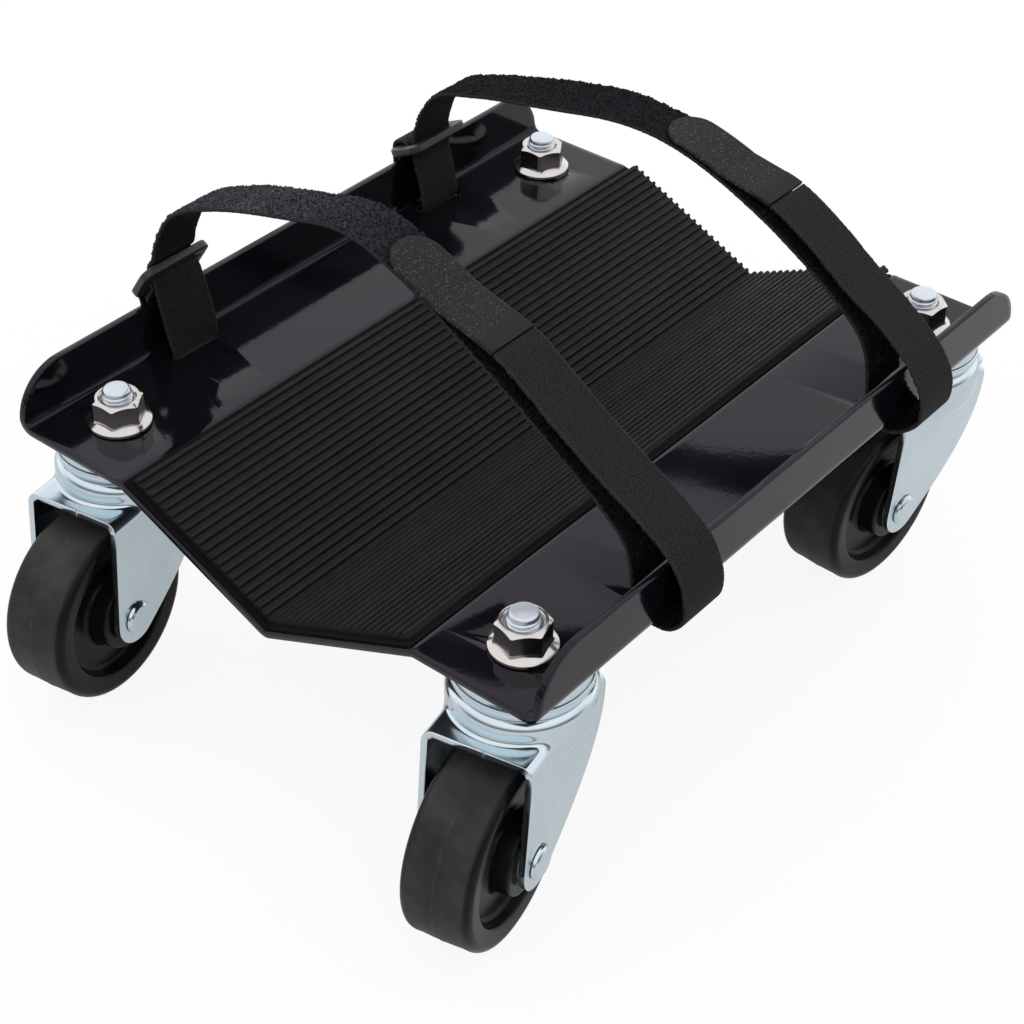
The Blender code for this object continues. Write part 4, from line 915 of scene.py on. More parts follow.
class StrapRoute:
    """Lines that one strap follows in XZ, with the pile always on the left of its run."""

    def __init__(self, deck, strap, shape):
        self.strap, self.shape = strap, shape
        self.half_width, _, _, self.top = deck_place()
        self.under = self.top - deck.sheet
        self.edge = self.top + deck.flange_rise
        self.slot = self.half_width - deck.slot_inset
        tilt = shape["ring"][0]
        self.rise = np.array((math.sin(tilt), math.cos(tilt)))
        self.inward = np.array((self.rise[1], -self.rise[0]))

    def ring(self, along, out):
        """A point of the ring's section: along it from its lower bar, and in from its plane."""
        _, beyond, above = self.shape["ring"]
        lower = np.array((-self.half_width - beyond, self.edge + above))
        return lower + self.rise * along + self.inward * out

    def sewn_end(self):
        """From the tail, round the ring's lower bar, under the flange and into the left slot."""
        strap, half, ring = self.strap, self.strap.thick / 2, self.ring
        wide, edge, top, under = self.half_width, self.edge, self.top, self.under
        tail = -wide - GAP - half
        main = tail - strap.thick - GAP
        slack = 2 * GAP + half
        bar, flat = strap.ring_bar / 2, strap.ring_thick / 2
        side, end = flat + slack, bar + slack
        return [
            (tail, edge - 0.0045 - strap.tail), (tail, edge - 0.0045), ring(-bar, side - 0.0001),
            ring(bar, side), ring(end, flat), ring(end, -flat), ring(bar, -side),
            ring(-bar, -side), (main - 0.0009, edge - 0.0070), (main - 0.0003, top + 0.0040),
            (-wide - 0.0010, under - 0.0016), (-wide + 0.0050, under - 0.0034),
            (-self.slot - 0.0016, under - 0.0008), (-self.slot + 0.0004, top),
        ]

    def through_ring(self):
        """Up the inside of the left flange and out through the ring under its upper bar."""
        strap, half, ring = self.strap, self.strap.thick / 2, self.ring
        edge = strap.ring_spacing - strap.ring_bar / 2 - GAP - half
        side = strap.ring_thick / 2 + GAP + half
        past_bar = strap.ring_bar + GAP + half
        return [
            (-self.slot - 0.0004, self.top + 0.0080),
            (-self.half_width + 0.0078, self.edge - 0.0010),
            ring(edge - 0.0032, side + 0.0024), ring(edge - 0.0003, side * 0.55),
            ring(edge - 0.0001, -side * 0.55),
        ] + [ring(edge + share * past_bar, -side - lift) for share, lift in self.shape["leave"]]

    def right_wrap(self):
        """Down through the right slot, under the flange and up its outer side."""
        wide, top, under, sag = self.half_width, self.top, self.under, self.shape["sag"]
        bulge = wide + self.shape["bulge"]
        return [
            (self.slot - 0.0008, top + 0.0005), (self.slot + 0.0012, under - sag * 0.55),
            (wide - 0.0035, under - sag), (wide + 0.0028, under - sag * 0.4),
            (bulge - 0.0010, top + 0.0020), (bulge, top + 0.0085), (bulge - 0.0012, top + 0.0150),
            (wide + 0.0030, self.edge + 0.0030),
        ]

    def paths(self, steps=24, lap_steps=61, tape_steps=220, spacing=0.0004):
        """The strap's line up to its seam, and the hook tape's line from there to its tip.

        A third column holds the place along the run, as the strap shapes use it.
        """
        shape, wide, top = self.shape, self.half_width, self.top
        left = [(-wide + x, top + z) for x, z in shape["left"]]
        crest = [(x, top + z) for x, z in shape["crest"]]
        right = [(wide - x, top + z) for x, z in shape["right"]]
        wrap, threaded = self.right_wrap(), self.through_ring()
        start = curve_through(self.sewn_end() + threaded, steps)
        arch = curve_through(threaded[-1:] + left + crest + right + wrap[:1], steps)
        home = arch[::-1]

        def lifted(where, lift):
            before, point, after = (points_at(home, where + s) for s in (-0.001, 0.0, 0.001))
            run = after - before
            run /= np.hypot(*run.T)[:, None]
            return point + np.column_stack((run[:, 1], -run[:, 0])) * lift[:, None]

        over = np.array([(wide - shape["over"][0], top + shape["over"][1])])
        loose = lifted(*np.array(shape["lifts"]).T)
        lying = lifted(np.linspace(*shape["lap"], lap_steps),
                       np.full(lap_steps, self.strap.thick + GAP))
        back = curve_through(np.vstack((wrap, over, loose, lying[:1])), steps)
        back = np.vstack((back, lying[1:]))
        total = distances(back)[-1]
        seam = total - self.strap.hook_length
        first = points_at(back, np.arange(0.0, seam, spacing))
        runs = [np.column_stack((run, number + distances(run) / distances(run)[-1]))
                for number, run in enumerate((start, arch, first))]
        webbing = np.vstack((runs[0][:-1], runs[1][:-1], runs[2]))
        tape = points_at(back, np.linspace(seam + GAP, total, tape_steps))
        return webbing, np.column_stack((tape, np.full(tape_steps, 3.0)))


def even_path(path, spacing):
    """A path with even steps, its corners eased by a short running mean."""
    total = distances(path)[-1]
    even = points_at(path, np.linspace(0.0, total, int(total / spacing) + 1))
    kernel = np.array((1.0, 2.0, 3.0, 2.0, 1.0)) / 9
    padded = np.vstack((np.repeat(even[:1], 2, 0), even, np.repeat(even[-1:], 2, 0)))
    return np.column_stack([np.convolve(column, kernel, "valid") for column in padded.T])


def along_run(shape, key, path):
    """One of a strap shape's lists, read at each point of a path."""
    return np.interp(path[:, 2], *np.array(shape[key]).T)


def edge_ease(width):
    """0 at both edges of a band and 1 further in than a share of its half width."""
    return smooth_step((1.0 - np.abs(np.linspace(-1.0, 1.0, BAND_COLUMNS))) / width)


def band(name, path, y, half, lower, upper, shape):
    """A closed flat band along a path: an under face, an upper face and rounded edges.

    Lower and upper are heights off the path, as arrays of rows times columns, and half is the half
    width of each row. The shape's skew moves a row in Y, and its roll leans the row by a height in
    proportion to the distance across it.
    """
    rows, columns = lower.shape
    normal = left_normals(path)
    v = np.linspace(-1.0, 1.0, columns)
    middle = (lower[:, [0, -1]] + upper[:, [0, -1]]) / 2
    across = np.concatenate((v, [1.0], v[::-1], [-1.0]))
    edge = np.zeros_like(across)
    edge[columns], edge[-1] = 0.00035, -0.00035
    skew, roll = (along_run(shape, key, path)[:, None] for key in ("skew", "roll"))
    heights = np.hstack((lower, middle[:, 1:], upper[:, ::-1], middle[:, :1]))
    heights = heights + roll * (across + shape["pivot"])
    sideways = half[:, None] * across + edge * np.minimum(1.0, half / half.max())[:, None] + skew
    points = np.stack((
        path[:, :1] + normal[:, :1] * heights, y + sideways,
        path[:, 1:2] + normal[:, 1:] * heights,
    ), -1)
    count = len(across)
    index, steps = quads(rows, count, wrap_cols=True)
    wide = np.concatenate((across, across[:1])) * half.max()
    uv = np.stack((distances(path)[steps[..., 0]], wide[steps[..., 1]]), -1)
    i = np.arange(columns - 1)
    other = 2 * columns - i
    cap = np.column_stack((i, i + 1, other - 1, other))
    tip = np.array(((columns - 1, columns, columns + 1), (2 * columns, 2 * columns + 1, 0)))
    last = (rows - 1) * count
    faces = [index, cap[:, ::-1], cap + last, tip[:, ::-1], tip + last]
    uvs = [uv] + [np.zeros((*f.shape, 2)) for f in faces[1:]]
    on_upper = (steps[:, 0, 1] >= columns) & (steps[:, 0, 1] < 2 * columns)
    marks = [on_upper.astype(int)] + [np.zeros(len(f), int) for f in faces[1:]]
    side = facing(points, faces)
    turned_faces, turned_uvs = ([a[:, ::side] for a in arrays] for arrays in (faces, uvs))
    return fill_mesh(name, points, turned_faces, turned_uvs, marks)


def webbing_mesh(path, y, strap, shape, seed):
    """The strap: a woven ground under a loop pile whose height is noise, thinner at the edges."""
    path = even_path(path, BAND_STEP)
    rows, knot = len(path), 40
    random = np.random.default_rng(seed)
    tufts = random.random((rows, BAND_COLUMNS)) ** 1.6
    bare = 0.80 + 0.20 * edge_ease(0.07)
    half = strap.thick / 2
    upper = half - 0.6 * strap.pile + strap.pile * bare * (0.10 + 0.90 * tufts)
    lower = np.full(tufts.shape, -half) + 0.00015 * (1 - edge_ease(0.06))
    width = np.full(rows, strap.width / 2)
    knots = np.arange(0, rows + knot, knot)
    wander = 0.00012 * np.interp(np.arange(rows), knots, random.normal(size=len(knots)))
    fray = 0.00010 * random.normal(size=rows)
    mesh = band("webbing", path, y, width + wander + fray, lower, upper, shape)
    # painted light along the run, which the pile's finish reads
    add_values(mesh, "nap", along_run(shape, "nap", path), 2 * BAND_COLUMNS + 2)
    return mesh


def hook_mesh(path, y, strap, shape, seed):
    """The hook tape: a flat band with a round tip, hooks underneath and a welded step."""
    total = distances(path)[-1]
    radius = strap.width / 2
    straight = np.arange(0.0, total - radius, HOOK_STEP)
    turn = np.linspace(0.0, math.pi / 2, 40)
    where = np.concatenate((straight, total - radius + radius * np.sin(turn)))
    tip = np.maximum(radius * np.cos(turn), radius * 0.06)
    half = np.concatenate((np.full(len(straight), radius), tip))
    line = points_at(path, where)
    shape_of = len(line), BAND_COLUMNS
    hooks = np.random.default_rng(seed).random(shape_of) * 0.00030 * edge_ease(0.12)
    thick = strap.thick / 2
    upper = np.full(shape_of, thick - 0.00030) + hooks
    lower = np.full(shape_of, -thick) + 0.00012 * (1 - edge_ease(0.06))
    lower -= 0.00022 * smooth_step((0.0080 - where) / 0.0006)[:, None]
    return band("hook_tape", line, y, half, lower, upper, shape)


def box_outline(half, corner, count=320, samples=900, furthest=0.03):
    """A rounded rectangle at equal angles: where rays from its middle cross its distance field."""
    angle = np.linspace(0.0, math.tau, count, endpoint=False)
    direction = np.column_stack((np.cos(angle), np.sin(angle)))
    reach = np.linspace(0.0, furthest, samples)[None, :]
    q = np.abs(direction[:, None, :] * reach[..., None]) - (np.array(half) - corner)
    field = np.linalg.norm(np.maximum(q, 0.0), axis=2) + np.minimum(q.max(2), 0.0) - corner
    hit = np.argmax(field > 0, axis=1)
    low, high = (np.take_along_axis(field, at[:, None], 1)[:, 0] for at in (hit - 1, hit))
    step = reach[0, 1]
    return direction * ((hit - 1) * step + step * -low / (high - low))[:, None]


def ring_mesh(route, strap, y):
    """The ring: a round-edged section carried between an outer and a hole outline."""
    spacing, bar = strap.ring_spacing, strap.ring_bar
    outer = box_outline((strap.ring_length / 2, (spacing + bar) / 2), strap.ring_corner)
    inner = box_outline((strap.width / 2 + strap.ring_room, (spacing - bar) / 2),
                        strap.ring_corner * 0.3)
    flat, soft = strap.ring_thick / 2, 0.0006
    edge = np.linspace(0, math.pi / 2, 5)
    inset = np.concatenate((soft * (1 - np.sin(edge)), soft * (1 - np.sin(edge[::-1]))))
    rounding = soft * (1 - np.cos(edge))
    level = np.concatenate((-flat + rounding, (flat - rounding)[::-1]))
    toward = (inner - outer) / np.linalg.norm(outer - inner, axis=1)[:, None]
    out_points = outer[:, None, :] + toward[:, None, :] * inset[None, :, None]
    in_points = inner[:, None, :] - toward[:, None, :] * inset[None, ::-1, None]
    ring = np.concatenate((out_points, in_points), 1)
    height = np.concatenate((level, level[::-1]))
    rise, inward = (np.insert(way, 1, 0.0) for way in (route.rise, route.inward))
    x, z = route.ring(spacing / 2, 0.0)
    points = np.array((x, y, z)) + ring[..., :1] * (0.0, 1.0, 0.0) + ring[..., 1:] * rise
    points = points + height[None, :, None] * inward
    index, _ = quads(*points.shape[:2], wrap_rows=True, wrap_cols=True)
    return fill_mesh("strap_ring", points, outward(points, [index]))


class DOLLY_OT_straps(bpy.types.Operator):
    """Thread the two cinch straps with their hook tapes and rings"""

    bl_idname = "dolly.straps"
    bl_label = "Straps"

    def execute(self, context):
        strap = context.scene.dolly_strap
        _, half_length, middle_y, _ = deck_place()
        for number, (name, end) in enumerate(STRAP_ENDS):
            y = middle_y + end * (half_length - strap.end_inset)
            shape = STRAP_SHAPES[name]
            route = StrapRoute(context.scene.dolly_deck, strap, shape)
            webbing, tape = route.paths()
            mesh = webbing_mesh(webbing, y, strap, shape, WEBBING_SEED + number)
            add_piece(f"{name}_strap_band", mesh, [woven_face(), loop_pile()], "deck",
                      [f"{name}_strap"], 60.0)
            mesh = hook_mesh(tape, y, strap, shape, HOOK_SEED + number)
            add_piece(f"{name}_hook_band", mesh, [hook_back(), loop_pile()], "deck",
                      [f"{name}_hook_tape"], 60.0)
            mesh = ring_mesh(route, strap, y + shape["skew"][0][1])
            add_piece(f"{name}_ring_loop", mesh, [moulded_ring()], "deck",
                      [f"{name}_strap_ring"])
        return {"FINISHED"}


# Casters


def caster_levels(caster):
    """Heights of the crown's underside, its top and the top of its dome."""
    under = 2 * caster.wheel_radius + caster.crown_gap
    top = under + caster.fork_sheet
    return under, top, top + caster.dome_rise


def wheel_mesh(caster, place, segments=128):
    """The wheel turned about its axle: crowned tread, round shoulders, sunk web and hub boss."""
    half, radius = caster.wheel_width / 2, caster.wheel_radius
    web, boss, rim = caster.web_half, caster.boss_radius, caster.rim_radius
    boss_end = caster.fork_width / 2 - caster.fork_sheet - caster.boss_gap
    side = [
        (caster.bore, boss_end), (boss - 0.0002, boss_end), (boss + 0.0006, web),
        (rim - 0.0014, web), (rim, half - 0.0010), (radius - 0.0003, half),
    ]
    radii = [0.0006, 0.0010, 0.0022, 0.0022, 0.0010, caster.shoulder]
    crown = np.linspace(0.009, -0.009, 23)[1:-1]
    line = 0.00016 * np.exp(-(crown / 0.0006) ** 2)
    bulge = radius - 0.0003 * (crown / 0.0095) ** 2 - 0.00016 + line
    upper = rounded_path(side + [(radius - 0.0003, 0.0)], radii + [0], 9, 0.0008)[:-1]
    profile = np.vstack((upper, np.column_stack((bulge, crown)), upper[::-1] * (1, -1)))
    mesh = fill_mesh("wheel", *turned(profile, segments, place))
    r, x = profile.T
    add_values(mesh, "mould_line", np.exp(-(x / 0.0005) ** 2) * (r > radius - 0.002), segments)
    # marks the running face, which the finish colours lighter as painted light
    run = smooth_step((half - 0.0022 - np.abs(x)) / 0.0012)
    add_values(mesh, "tread", run * (r > radius - 0.003), segments)
    return mesh


def leg_limits(caster, level):
    """Front and rear edge of the legs at a height, as distances behind the swivel axis.

    The front edge is a straight line onto the round end, and the rear edge a cubic curve off it.
    """
    axle, radius = (caster.offset, caster.wheel_radius), caster.leg_end
    _, top, _ = caster_levels(caster)
    drop = np.sqrt(np.maximum(radius ** 2 - (level - axle[1]) ** 2, 0.0))
    meet = math.radians(6)
    joint_x, joint = axle[0] + radius * math.cos(meet), axle[1] + radius * math.sin(meet)
    straight = np.interp(level, [joint, top], [joint_x, caster.fork_front])
    front = np.where(level < joint, axle[0] + drop, straight)
    lean = math.radians(-123)
    start = np.array((axle[0] + radius * math.cos(lean), axle[1] + radius * math.sin(lean)))
    a = start + np.array((math.sin(lean), -math.cos(lean))) * caster.leg_sweep
    b = np.array((-caster.fork_back - 0.0020, top - 0.0290))
    end = np.array((-caster.fork_back, top - 0.0020))
    t = np.linspace(0, 1, 60)[:, None]
    rear = (1 - t) ** 3 * start + 3 * (1 - t) ** 2 * t * a + 3 * (1 - t) * t * t * b + t ** 3 * end
    curve = np.interp(level, rear[:, 1], rear[:, 0])
    return front, np.where(level < start[1], axle[0] - drop, curve)


def fork_field(caster, x, y, z):
    """Below 0 inside the fork's outer form: a rounded block and a flared dome, joined softly."""
    _, top, dome_top = caster_levels(caster)
    half, bend, blend = caster.fork_width / 2, caster.fork_bend, caster.dome_fillet
    shoulder = caster.dome_shoulder

    def rounded(a, b, radius):
        corner = np.hypot(np.maximum(a, 0), np.maximum(b, 0))
        return corner + np.minimum(np.maximum(a, b), 0) - radius

    block = rounded(np.abs(x) - (half - bend), z - (top - bend), bend)
    narrow = caster.dome_radius - half + 2.2 * blend
    narrow = narrow * smooth_step((top - 0.0030 - z) / (caster.flare_drop * 1.35))
    out = np.hypot(x, y) + narrow - (caster.dome_radius - shoulder)
    dome = rounded(out, z - (dome_top - shoulder), shoulder)
    h = np.clip(0.5 + 0.5 * (dome - block) / blend, 0.0, 1.0)
    return dome * (1 - h) + block * h - blend * h * (1 - h)


def fork_mesh(caster, columns=76, halvings=44):
    """The fork's sheet: rays from inside the crown meet the outer form, over the legs' outline.

    Rows follow the bent strip from one leg's end over the crown to the other's, columns run from
    its rear edge to its front edge, and the sheet is thickened inwards and pierced.
    """
    under, top, dome_top = caster_levels(caster)
    half, bend, dome = caster.fork_width / 2, caster.fork_bend, caster.dome_radius
    axle_z = caster.wheel_radius
    round_end = axle_z - caster.leg_end * np.cos(np.linspace(0.07, math.pi / 2, 15))
    leg = np.concatenate((round_end, np.linspace(axle_z, top - bend, 30)[1:]))
    right = np.vstack((
        np.column_stack((np.full(len(leg), half), leg)),
        arc((half - bend, top - bend), bend, 0, 90, 10)[1:],
        np.column_stack((np.linspace(half - bend, 0.0, 22)[1:], np.full(21, top))),
    ))
    strip = np.vstack((right, right[-2::-1] * (-1, 1)))
    front, back = leg_limits(caster, strip[:, 1])
    heart, lip = top - 0.0110, under + 0.0010
    rise = strip[:, 1] - heart
    scale = (lip - heart) / np.maximum(rise, 1e-6)
    lip_x = np.where(rise > 0.002, strip[:, 0] * scale, 1.0)
    lip_y = np.sqrt(np.maximum(dome ** 2 - lip_x ** 2, 0.0)) * rise / (lip - heart)
    rear = np.where(np.hypot(lip_x, caster.fork_back) < dome, lip_y, -back)
    y = rear[:, None] + (-front - rear)[:, None] * np.linspace(0.0, 1.0, columns)
    aim = np.stack((strip[:, :1] + 0 * y, y, rise[:, None] + 0 * y), -1)
    origin = np.array((0.0, 0.0, heart))
    low, high = np.full(y.shape, 0.4), np.full(y.shape, 4.0)
    for _ in range(halvings):
        middle = (low + high) / 2
        inside = fork_field(caster, *np.moveaxis(aim * middle[..., None] + origin, -1, 0)) < 0
        low, high = np.where(inside, middle, low), np.where(inside, high, middle)
    points = aim * low[..., None] + origin
    index, _ = quads(*y.shape)
    centre = points.reshape(-1, 3)[index[len(index) // 2]]
    if np.cross(centre[1] - centre[0], centre[3] - centre[0])[2] < 0:
        index = index[:, ::-1]
    mesh = fill_mesh("fork_shell", points, [index])
    stud = hole((0.0, 0.0), caster.stud_radius + STUD_ROOM)
    holes = [prism(stud, under - 0.01, dome_top + 0.01)]
    axle = hole((0.0, 0.0), caster.axle_radius + GAP)
    across = Matrix.Translation((0.0, -caster.offset, axle_z))
    across = across @ Matrix.Rotation(math.pi / 2, 4, "Y")
    for ends in ((-half - 0.005, -half + 0.008), (half - 0.008, half + 0.005)):
        tube, faces = prism(axle, *ends)
        holes.append((placed(tube, across), faces))
    return formed(mesh, holes, caster.fork_sheet, -1.0, 0.00045, 2)


def stud_mesh(caster, place, top, segments=64, rows=110):
    """The swivel bolt: head, shank and a thread whose radius is a helix of height and angle."""
    _, _, dome_top = caster_levels(caster)
    tip = top + caster.stud_rise
    head_top = dome_top - caster.fork_sheet - 2 * GAP - 0.0020
    head_low = head_top - 0.0045
    radius = caster.stud_radius
    plain = [
        (0.0085, head_low), (0.0095, head_low + 0.0010), (0.0095, head_top - 0.0003),
        (0.0092, head_top), (radius - 0.0003, head_top + 0.0002), (radius - 0.0003, top - 0.004),
    ]
    thread = np.linspace(top - 0.0035, tip - 0.0016, rows)
    end = [(radius - 0.0004, tip - 0.0015), (radius - 0.0010, tip - 0.0003), (0.0003, tip)]
    end = rounded_path(end, [0, 0.0016, 0], 6)
    profile = np.vstack((plain, np.column_stack((np.full(rows, radius), thread)), end))
    points, faces = turned(profile, segments, Matrix.Identity(4), closed=False)
    points = points.reshape(len(profile), segments, 3)
    phase = (thread[:, None] / caster.thread_pitch - np.arange(segments) / segments) % 1.0
    ridge = smooth_step((1 - np.abs(2 * phase - 1)) * 1.25 - 0.1)
    fade = smooth_step((tip - 0.0016 - thread) / 0.0012)[:, None]
    scale = 1.0 - (0.00085 * (1 - ridge) * fade + 0.0004 * (1 - fade)) / radius
    points[len(plain):len(plain) + rows, :, :2] *= scale[..., None]
    return fill_mesh("stud", placed(points.reshape(-1, 3), place), faces)


def nut_mesh(caster, place, top):
    """The flange nut: at each angle its flat runs from the flange's cone to the chamfer's cone."""
    base = top + GAP
    head = base + caster.nut_height
    flat, bore, flange = caster.nut_flats / 2, caster.stud_radius + 0.0001, caster.nut_flange
    part = np.array((0.0, 0.6, 1.2, 1.8, 2.6, 4, 8, 13, 19, 25, 30, 35, 41, 47, 52, 56, 57.4, 58.2,
                     58.8, 59.4))
    angle = np.radians((np.arange(6)[:, None] * 60 + part).ravel())
    off = np.degrees(angle) % 60
    corner = np.minimum(off, 60 - off)
    side = flat / np.cos((angle % (math.pi / 3)) - math.pi / 6)
    side -= 0.00022 * np.exp(-(corner / 1.6) ** 2)
    lead = flat - 0.0005
    chamfer = head - np.maximum(side - lead, 0.0) * math.tan(math.radians(30)) - 0.0001
    foot = base + 0.0014 + (flange - side) * 0.55
    rings = [
        (bore, base + 0.0010), (bore, head - 0.0012), (bore + 0.0011, head - 0.00015),
        (bore + 0.0014, head), (lead - 0.0004, head), (lead + 0.0001, head - 0.00006),
        (side - 0.00025, chamfer + 0.00012), (side, chamfer - 0.00012), (side, chamfer - 0.0006),
        (side, foot + 0.0009), (side + 0.00012, foot + 0.0003), (side + 0.0006, foot - 0.0004),
        (flange - 0.0006, base + 0.0017), (flange - 0.0001, base + 0.0013),
        (flange, base + 0.0010), (flange, base + 0.0003), (flange - 0.0003, base),
        (bore + 0.0010, base),
    ]
    r, z = (np.array([np.broadcast_to(ring[k], angle.shape) for ring in rings]) for k in (0, 1))
    points = np.stack((r * np.cos(angle), r * np.sin(angle), z), -1)
    index, _ = quads(len(rings), len(angle), wrap_rows=True, wrap_cols=True)
    points = placed(points.reshape(-1, 3), place)
    return fill_mesh("nut", points, outward(points, [index]))


def race_meshes(caster, place, deck_under, segments=96):
    """The fixed race under the deck and the turning race on the dome: rounded sections, turned."""
    _, _, dome_top = caster_levels(caster)
    low, high = dome_top + GAP, deck_under - GAP
    seam = low + 0.0038
    inner, turning, fixed = caster.stud_radius + STUD_ROOM, caster.ring_radius, caster.race_radius
    sections = (
        ([(inner, seam + GAP), (fixed - 0.0002, seam + GAP), (fixed, seam + 0.0020),
          (fixed - 0.0010, high), (inner, high)], [0.0002, 0.0006, 0.0012, 0.0009, 0.0002]),
        ([(inner, low), (turning - 0.0008, low), (turning, low + 0.0016),
          (turning - 0.0002, seam), (inner, seam)], [0.0002, 0.0008, 0.0010, 0.0007, 0.0002]),
    )
    profiles = (rounded_path(*section, 5, 0.0001, closed=True) for section in sections)
    return [fill_mesh("race", *turned(profile, segments, place)) for profile in profiles]


def rivet_mesh(caster, place, segments=48):
    """The axle rivet: a shank with a flat, round-edged head outside each leg."""
    seat = caster.fork_width / 2 + GAP
    end, head, shank = seat + caster.axle_head_thick, caster.axle_head, caster.axle_radius
    corners = [(0.0004, end), (head - 0.0014, end), (head - 0.0003, end - 0.0009), (head, seat),
               (shank, seat), (shank, 0.0)]
    half = rounded_path(corners, [0, 0.0010, 0.0006, 0.0001, 0, 0], 4, 0.0001)[:-1]
    profile = np.vstack((half, half[::-1] * (1, -1)))
    return fill_mesh("rivet", *turned(profile, segments, place, closed=False))


class DOLLY_OT_forks(bpy.types.Operator):
    """Press the four forks and set their axle rivets"""

    bl_idname = "dolly.forks"
    bl_label = "Forks"

    def execute(self, context):
        caster = context.scene.dolly_caster
        shell = fork_mesh(caster)
        zinc = [plated("zinc_plate")]
        for name, point, angle, axle in caster_places():
            body = f"{name}_fork"
            mesh = shell.copy()
            mesh.transform(upright(point, angle))
            add_piece(f"{name}_fork_shell", mesh, zinc, body, [f"{name}_fork"])
            mesh = rivet_mesh(caster, axle)
            add_piece(f"{name}_rivet", mesh, zinc, body, [f"{name}_axle_rivet"])
        return {"FINISHED"}


class DOLLY_OT_wheels(bpy.types.Operator):
    """Mould the four wheels"""

    bl_idname = "dolly.wheels"
    bl_label = "Wheels"

    def execute(self, context):
        for name, _, _, axle in caster_places():
            mesh = wheel_mesh(context.scene.dolly_caster, axle)
            add_piece(f"{name}_tyre", mesh, [wheel_rubber()], f"{name}_wheel",
                      [f"{name}_wheel"])
        return {"FINISHED"}


class DOLLY_OT_bolts(bpy.types.Operator):
    """Turn the swivel studs, nuts and races"""

    bl_idname = "dolly.bolts"
    bl_label = "Studs, nuts and races"

    def execute(self, context):
        caster = context.scene.dolly_caster
        *_, top = deck_place()
        under = top - context.scene.dolly_deck.sheet
        zinc = [plated("zinc_plate")]
        for name, point, _, _ in caster_places():
            place = upright(point, math.radians(NUT_TURNS[name]))
            add_piece(f"{name}_stud", stud_mesh(caster, place, top), [plated("stud_plate")],
                      "deck", [f"{name}_kingpin"], 40.0)
            add_piece(f"{name}_nut", nut_mesh(caster, place, top), [plated("bright_plate")],
                      "deck", [f"{name}_flange_nut"], 24.0)
            race, ring = race_meshes(caster, place, under)
            add_piece(f"{name}_race", race, zinc, "deck", [f"{name}_top_race"])
            add_piece(f"{name}_race_band", ring, zinc, f"{name}_fork",
                      [f"{name}_race_ring"])
        return {"FINISHED"}


class DOLLY_OT_inner(bpy.types.Operator):
    """Finish the bearing parts inside the casters"""

    bl_idname = "dolly.inner"
    bl_label = "Inner bearing parts"

    def execute(self, context):
        for name in CASTER_NAMES:
            for node in ("lower_race", "ball_cage", "axle_sleeve", "wheel_bushing"):
                materials = FRAME["nodes"][f"{name}_{node}"].data.materials
                materials.clear()
                materials.append(plated("zinc_plate" if node == "lower_race" else "plain_steel"))
        return {"FINISHED"}


# Stage


def floor_finish(stage):
    """Pale floor: its own grey, mixed with plain white for the camera and for mirrors."""
    material = bpy.data.materials.new("pale_floor")
    n = Nodes(material)
    n.tree.nodes.clear()
    rays = n.node("LightPath").outputs
    seen = rays["Is Camera Ray"]
    diffuse = n.node("BsdfDiffuse", {"Color": n.span(seen, 0.0, 1.0, stage.floor, stage.backdrop)})
    white = n.node("Emission", {"Strength": 1.0})
    shine = n.math("MAXIMUM", rays["Is Glossy Ray"], rays["Is Transmission Ray"])
    share = n.math("ADD", n.math("MULTIPLY", seen, stage.white),
                   n.math("MULTIPLY", shine, stage.mirrored))
    mix = n.node("MixShader", {0: share, 1: diffuse.outputs[0], 2: white.outputs[0]})
    n.node("OutputMaterial", {0: mix.outputs[0]})
    return material


def room_light(stage):
    """White room: soft light all round, weakest low down on the camera's side."""
    world = bpy.data.worlds.new("white_room")
    n = Nodes(world)
    n.tree.nodes.clear()
    way = n.node("TexCoord").outputs["Generated"]
    height = n.node("SeparateXYZ", {0: way}).outputs["Z"]
    toward = n.node("VectorMath", {0: way, 1: CAMERA_SIDE}, operation="DOT_PRODUCT")
    soft = {"interpolation_type": "SMOOTHSTEP"}
    room, high = stage.room, stage.room * stage.high
    low = n.span(height, 0.12, 0.60, 1.0, 0.0, **soft)
    sides = n.span(toward.outputs["Value"], -0.45, 0.40, room * stage.far, room * stage.near,
                   **soft)
    strength = n.span(low, 0.0, 1.0, high, sides, **soft)
    light = n.node("Background", {"Color": (1.0, 0.995, 1.0, 1.0), "Strength": strength})
    white = n.node("Background", {"Color": (1.0, 1.0, 1.0, 1.0)})
    seen = n.node("LightPath").outputs["Is Camera Ray"]
    mix = n.node("MixShader", {0: seen, 1: light.outputs[0], 2: white.outputs[0]})
    n.node("OutputWorld", {0: mix.outputs[0]})
    return world


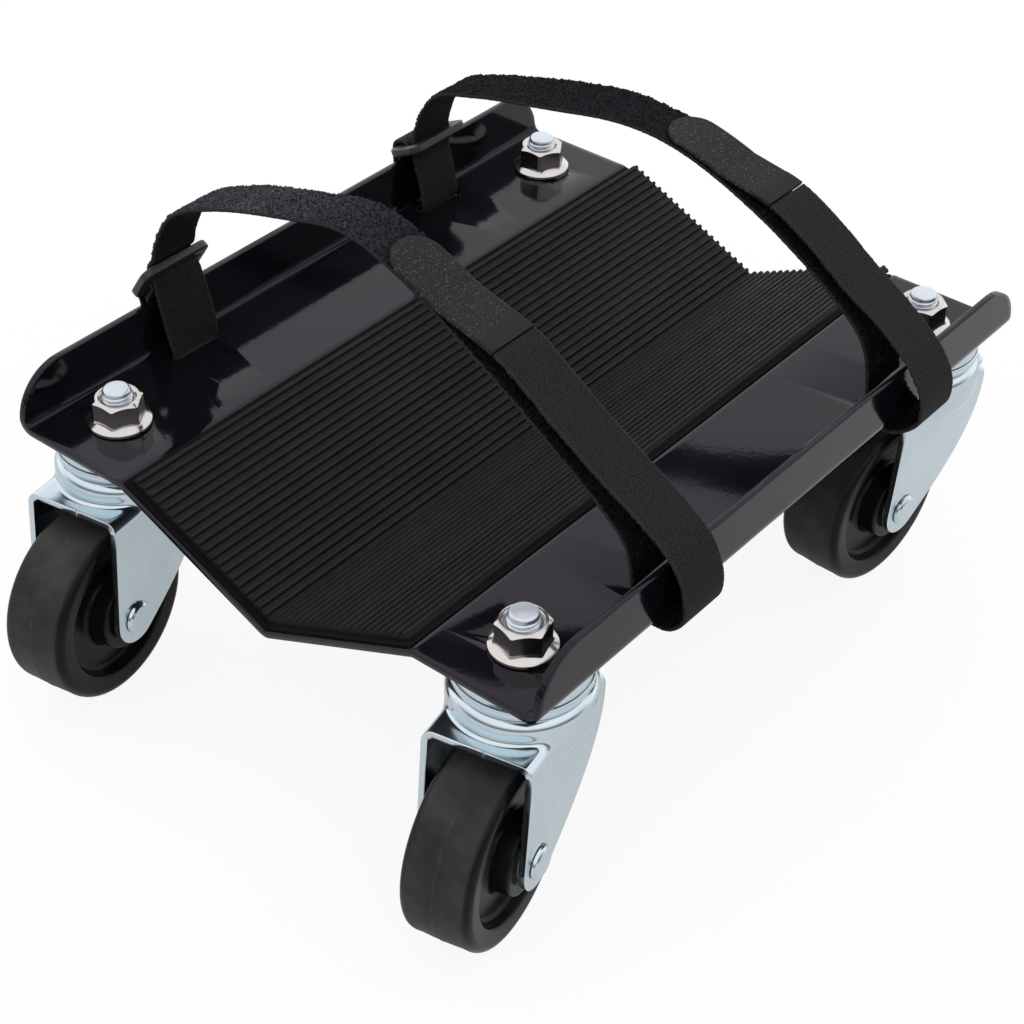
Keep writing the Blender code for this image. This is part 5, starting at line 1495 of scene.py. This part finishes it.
class DOLLY_OT_stage(bpy.types.Operator):
    """Set the camera, the floor and the light"""

    bl_idname = "dolly.stage"
    bl_label = "Stage"

    def execute(self, context):
        scene, stage = context.scene, context.scene.dolly_stage
        scene.view_settings.view_transform = "Standard"
        lens = bpy.data.cameras.new("photo_camera")
        lens.lens, lens.sensor_width = stage.lens, 36.0
        lens.shift_x, lens.shift_y = stage.shift_x, stage.shift_y
        lens.clip_start, lens.clip_end = 0.01, 50.0
        camera = bpy.data.objects.new("photo_camera", lens)
        turn = Quaternion(CAMERA_TURN).to_matrix().to_4x4()
        camera.matrix_world = Matrix.Translation(CAMERA_PLACE) @ turn
        scene.collection.objects.link(camera)
        scene.camera = camera
        corners = np.array(((-1, -1), (1, -1), (1, 1), (-1, 1)), float) * FLOOR_HALF
        points = np.column_stack((corners, np.full(4, -FLOOR_DROP)))
        mesh = fill_mesh("floor", points, [np.arange(4)[None, :]])
        floor = bpy.data.objects.new("floor", mesh)
        scene.collection.objects.link(floor)
        mesh.materials.append(floor_finish(stage))
        scene.world = room_light(stage)
        return {"FINISHED"}


class DOLLY_PT_panel(bpy.types.Panel):
    """Sizes, finishes and steps of the dolly"""

    bl_idname = "DOLLY_PT_panel"
    bl_label = "Trough Dolly"
    bl_space_type = "VIEW_3D"
    bl_region_type = "UI"
    bl_category = "Dolly"

    def draw(self, context):
        column = self.layout.column()
        for operator in OPERATORS:
            column.operator(operator.bl_idname)
        for name, group in GROUPS:
            box = self.layout.box()
            settings = getattr(context.scene, name)
            for key in group.__annotations__:
                box.prop(settings, key)


GROUPS = (
    ("dolly_deck", DollyDeckSizes),
    ("dolly_strap", DollyStrapSizes),
    ("dolly_caster", DollyCasterSizes),
    ("dolly_finish", DollyFinishes),
    ("dolly_stage", DollyStage),
)
OPERATORS = (
    DOLLY_OT_stage, DOLLY_OT_deck, DOLLY_OT_mat, DOLLY_OT_straps, DOLLY_OT_forks,
    DOLLY_OT_wheels, DOLLY_OT_bolts, DOLLY_OT_inner,
)


def register():
    """Register the classes and hang the settings on the scene."""
    for name, group in GROUPS:
        bpy.utils.register_class(group)
        setattr(bpy.types.Scene, name, PointerProperty(type=group))
    for cls in (*OPERATORS, DOLLY_PT_panel):
        bpy.utils.register_class(cls)


def unregister():
    """Take the classes and the settings away again."""
    for cls in (DOLLY_PT_panel, *OPERATORS):
        bpy.utils.unregister_class(cls)
    for name, group in GROUPS:
        delattr(bpy.types.Scene, name)
        bpy.utils.unregister_class(group)


def main():
    """Build every piece."""
    register()
    for operator in OPERATORS:
        module, name = operator.bl_idname.split(".")
        getattr(getattr(bpy.ops, module), name)()
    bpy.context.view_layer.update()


if __name__ == "__main__":
    main()
